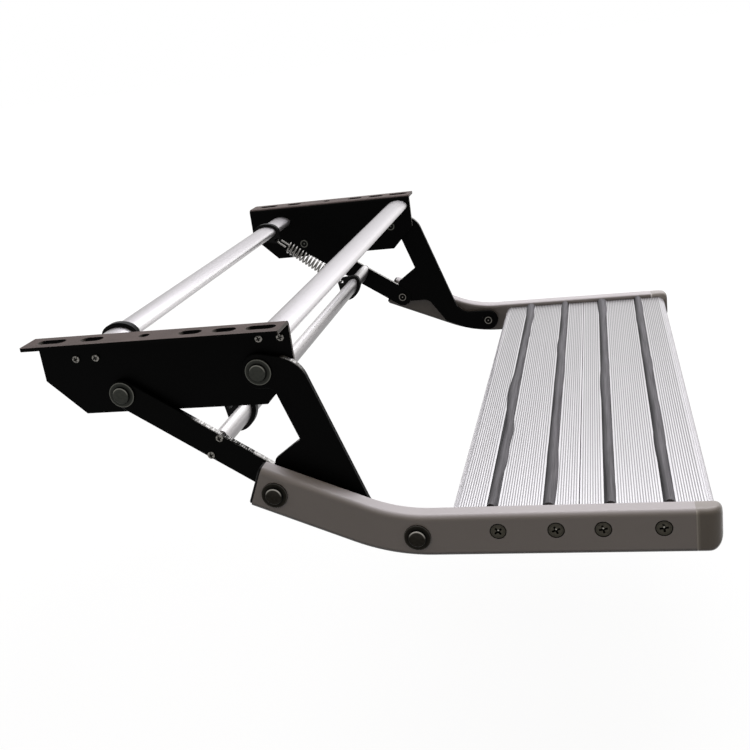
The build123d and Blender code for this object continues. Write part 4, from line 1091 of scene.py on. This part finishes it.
for name, tree in (("floor", floor_paint.node_tree), ("world", world.node_tree)):
    tree.nodes.clear()
    rays = add_node(tree, "ShaderNodeLightPath", {}, {}).outputs
    seen = rays["Is Camera Ray"]
    for kind in ("Is Glossy Ray", "Is Transmission Ray"):
        seen = add_node(tree, "ShaderNodeMath", {"operation": "MAXIMUM"}, {0: seen, 1: rays[kind]})
    seen_by_eye[name] = seen
tree = floor_paint.node_tree
place = add_node(tree, "ShaderNodeTexCoord", {}, {}).outputs
away = add_node(tree, "ShaderNodeVectorMath", {"operation": "LENGTH"}, {0: place["Object"]})
brim = add_node(
    tree,
    "ShaderNodeMapRange",
    {},
    {"Value": away, 1: FLOOR_BRIM[0], 2: FLOOR_BRIM[1], 3: FLOOR_GLOW, 4: 1.0},
)
glow_level = add_node(tree, "ShaderNodeMath", {"operation": "MULTIPLY"}, {0: seen_by_eye["floor"], 1: brim})
paint = add_node(tree, "ShaderNodeBsdfDiffuse", {}, {"Color": linear(FLOOR_PAINT)})
glow = add_node(tree, "ShaderNodeEmission", {}, {"Strength": glow_level})
mixed = add_node(tree, "ShaderNodeAddShader", {}, {0: paint, 1: glow})
add_node(tree, "ShaderNodeOutputMaterial", {}, {"Surface": mixed})
floor_mesh.materials.append(floor_paint)

tree = world.node_tree
direction = add_node(tree, "ShaderNodeTexCoord", {}, {}).outputs
height = add_node(tree, "ShaderNodeSeparateXYZ", {}, {0: direction["Generated"]}).outputs
ceiling = add_node(
    tree, "ShaderNodeMapRange", {}, {"Value": height["Z"], 3: AMBIENT_LEVEL, 4: AMBIENT_ABOVE}
)
dim = add_node(tree, "ShaderNodeBackground", {}, {"Color": linear(AMBIENT_WARM), "Strength": ceiling})
white = add_node(tree, "ShaderNodeBackground", {}, {"Color": linear("#ffffff"), "Strength": 1.0})
surround = add_node(tree, "ShaderNodeMixShader", {}, {0: seen_by_eye["world"], 1: dim, 2: white})
add_node(tree, "ShaderNodeOutputWorld", {}, {"Surface": surround})

lamp_light = bpy.data.lights.new("overhead softbox", "AREA")
lamp_light.shape = "RECTANGLE"
lamp_light.size, lamp_light.size_y = LAMP_SIZE
lamp_light.energy = LAMP_POWER
lamp_light.color = linear(LAMP_COLOUR)[:3]
lamp = bpy.data.objects.new("overhead softbox", lamp_light)
bpy.context.scene.collection.objects.link(lamp)
lamp.location = LAMP_PLACE
lamp.rotation_euler = (LAMP_TILT, 0, 0)


# Camera: low in front of the right side, tilted a little, as a hand-held photograph is.
# Its place, its turns and its focal length were fitted to points of the step in the photo.
CAMERA_PLACE = np.array([0.3416, -0.9686, 0.1938])
CAMERA_YAW = radians(14.15)
CAMERA_PITCH = radians(18.67)
CAMERA_ROLL = radians(-7.91)
FOCAL_PIXELS = 992.9
IMAGE_PIXELS = 750
ahead = np.array(
    [
        -np.sin(CAMERA_YAW) * np.cos(CAMERA_PITCH),
        np.cos(CAMERA_YAW) * np.cos(CAMERA_PITCH),
        -np.sin(CAMERA_PITCH),
    ]
)
level_right = np.cross(ahead, [0, 0, 1])
level_right /= np.linalg.norm(level_right)
level_up = np.cross(level_right, ahead)
right = np.cos(CAMERA_ROLL) * level_right + np.sin(CAMERA_ROLL) * level_up
up = np.cos(CAMERA_ROLL) * level_up - np.sin(CAMERA_ROLL) * level_right
camera_lens = bpy.data.cameras.new("photo camera")
camera_lens.sensor_width = 36.0
camera_lens.lens = camera_lens.sensor_width * FOCAL_PIXELS / IMAGE_PIXELS
camera_lens.clip_start = 0.01
camera = bpy.data.objects.new("photo camera", camera_lens)
bpy.context.scene.collection.objects.link(camera)
turn = Matrix(np.stack([right, up, -ahead], axis=1).tolist()).to_4x4()
camera.matrix_world = Matrix.Translation(CAMERA_PLACE.tolist()) @ turn
bpy.context.scene.camera = camera
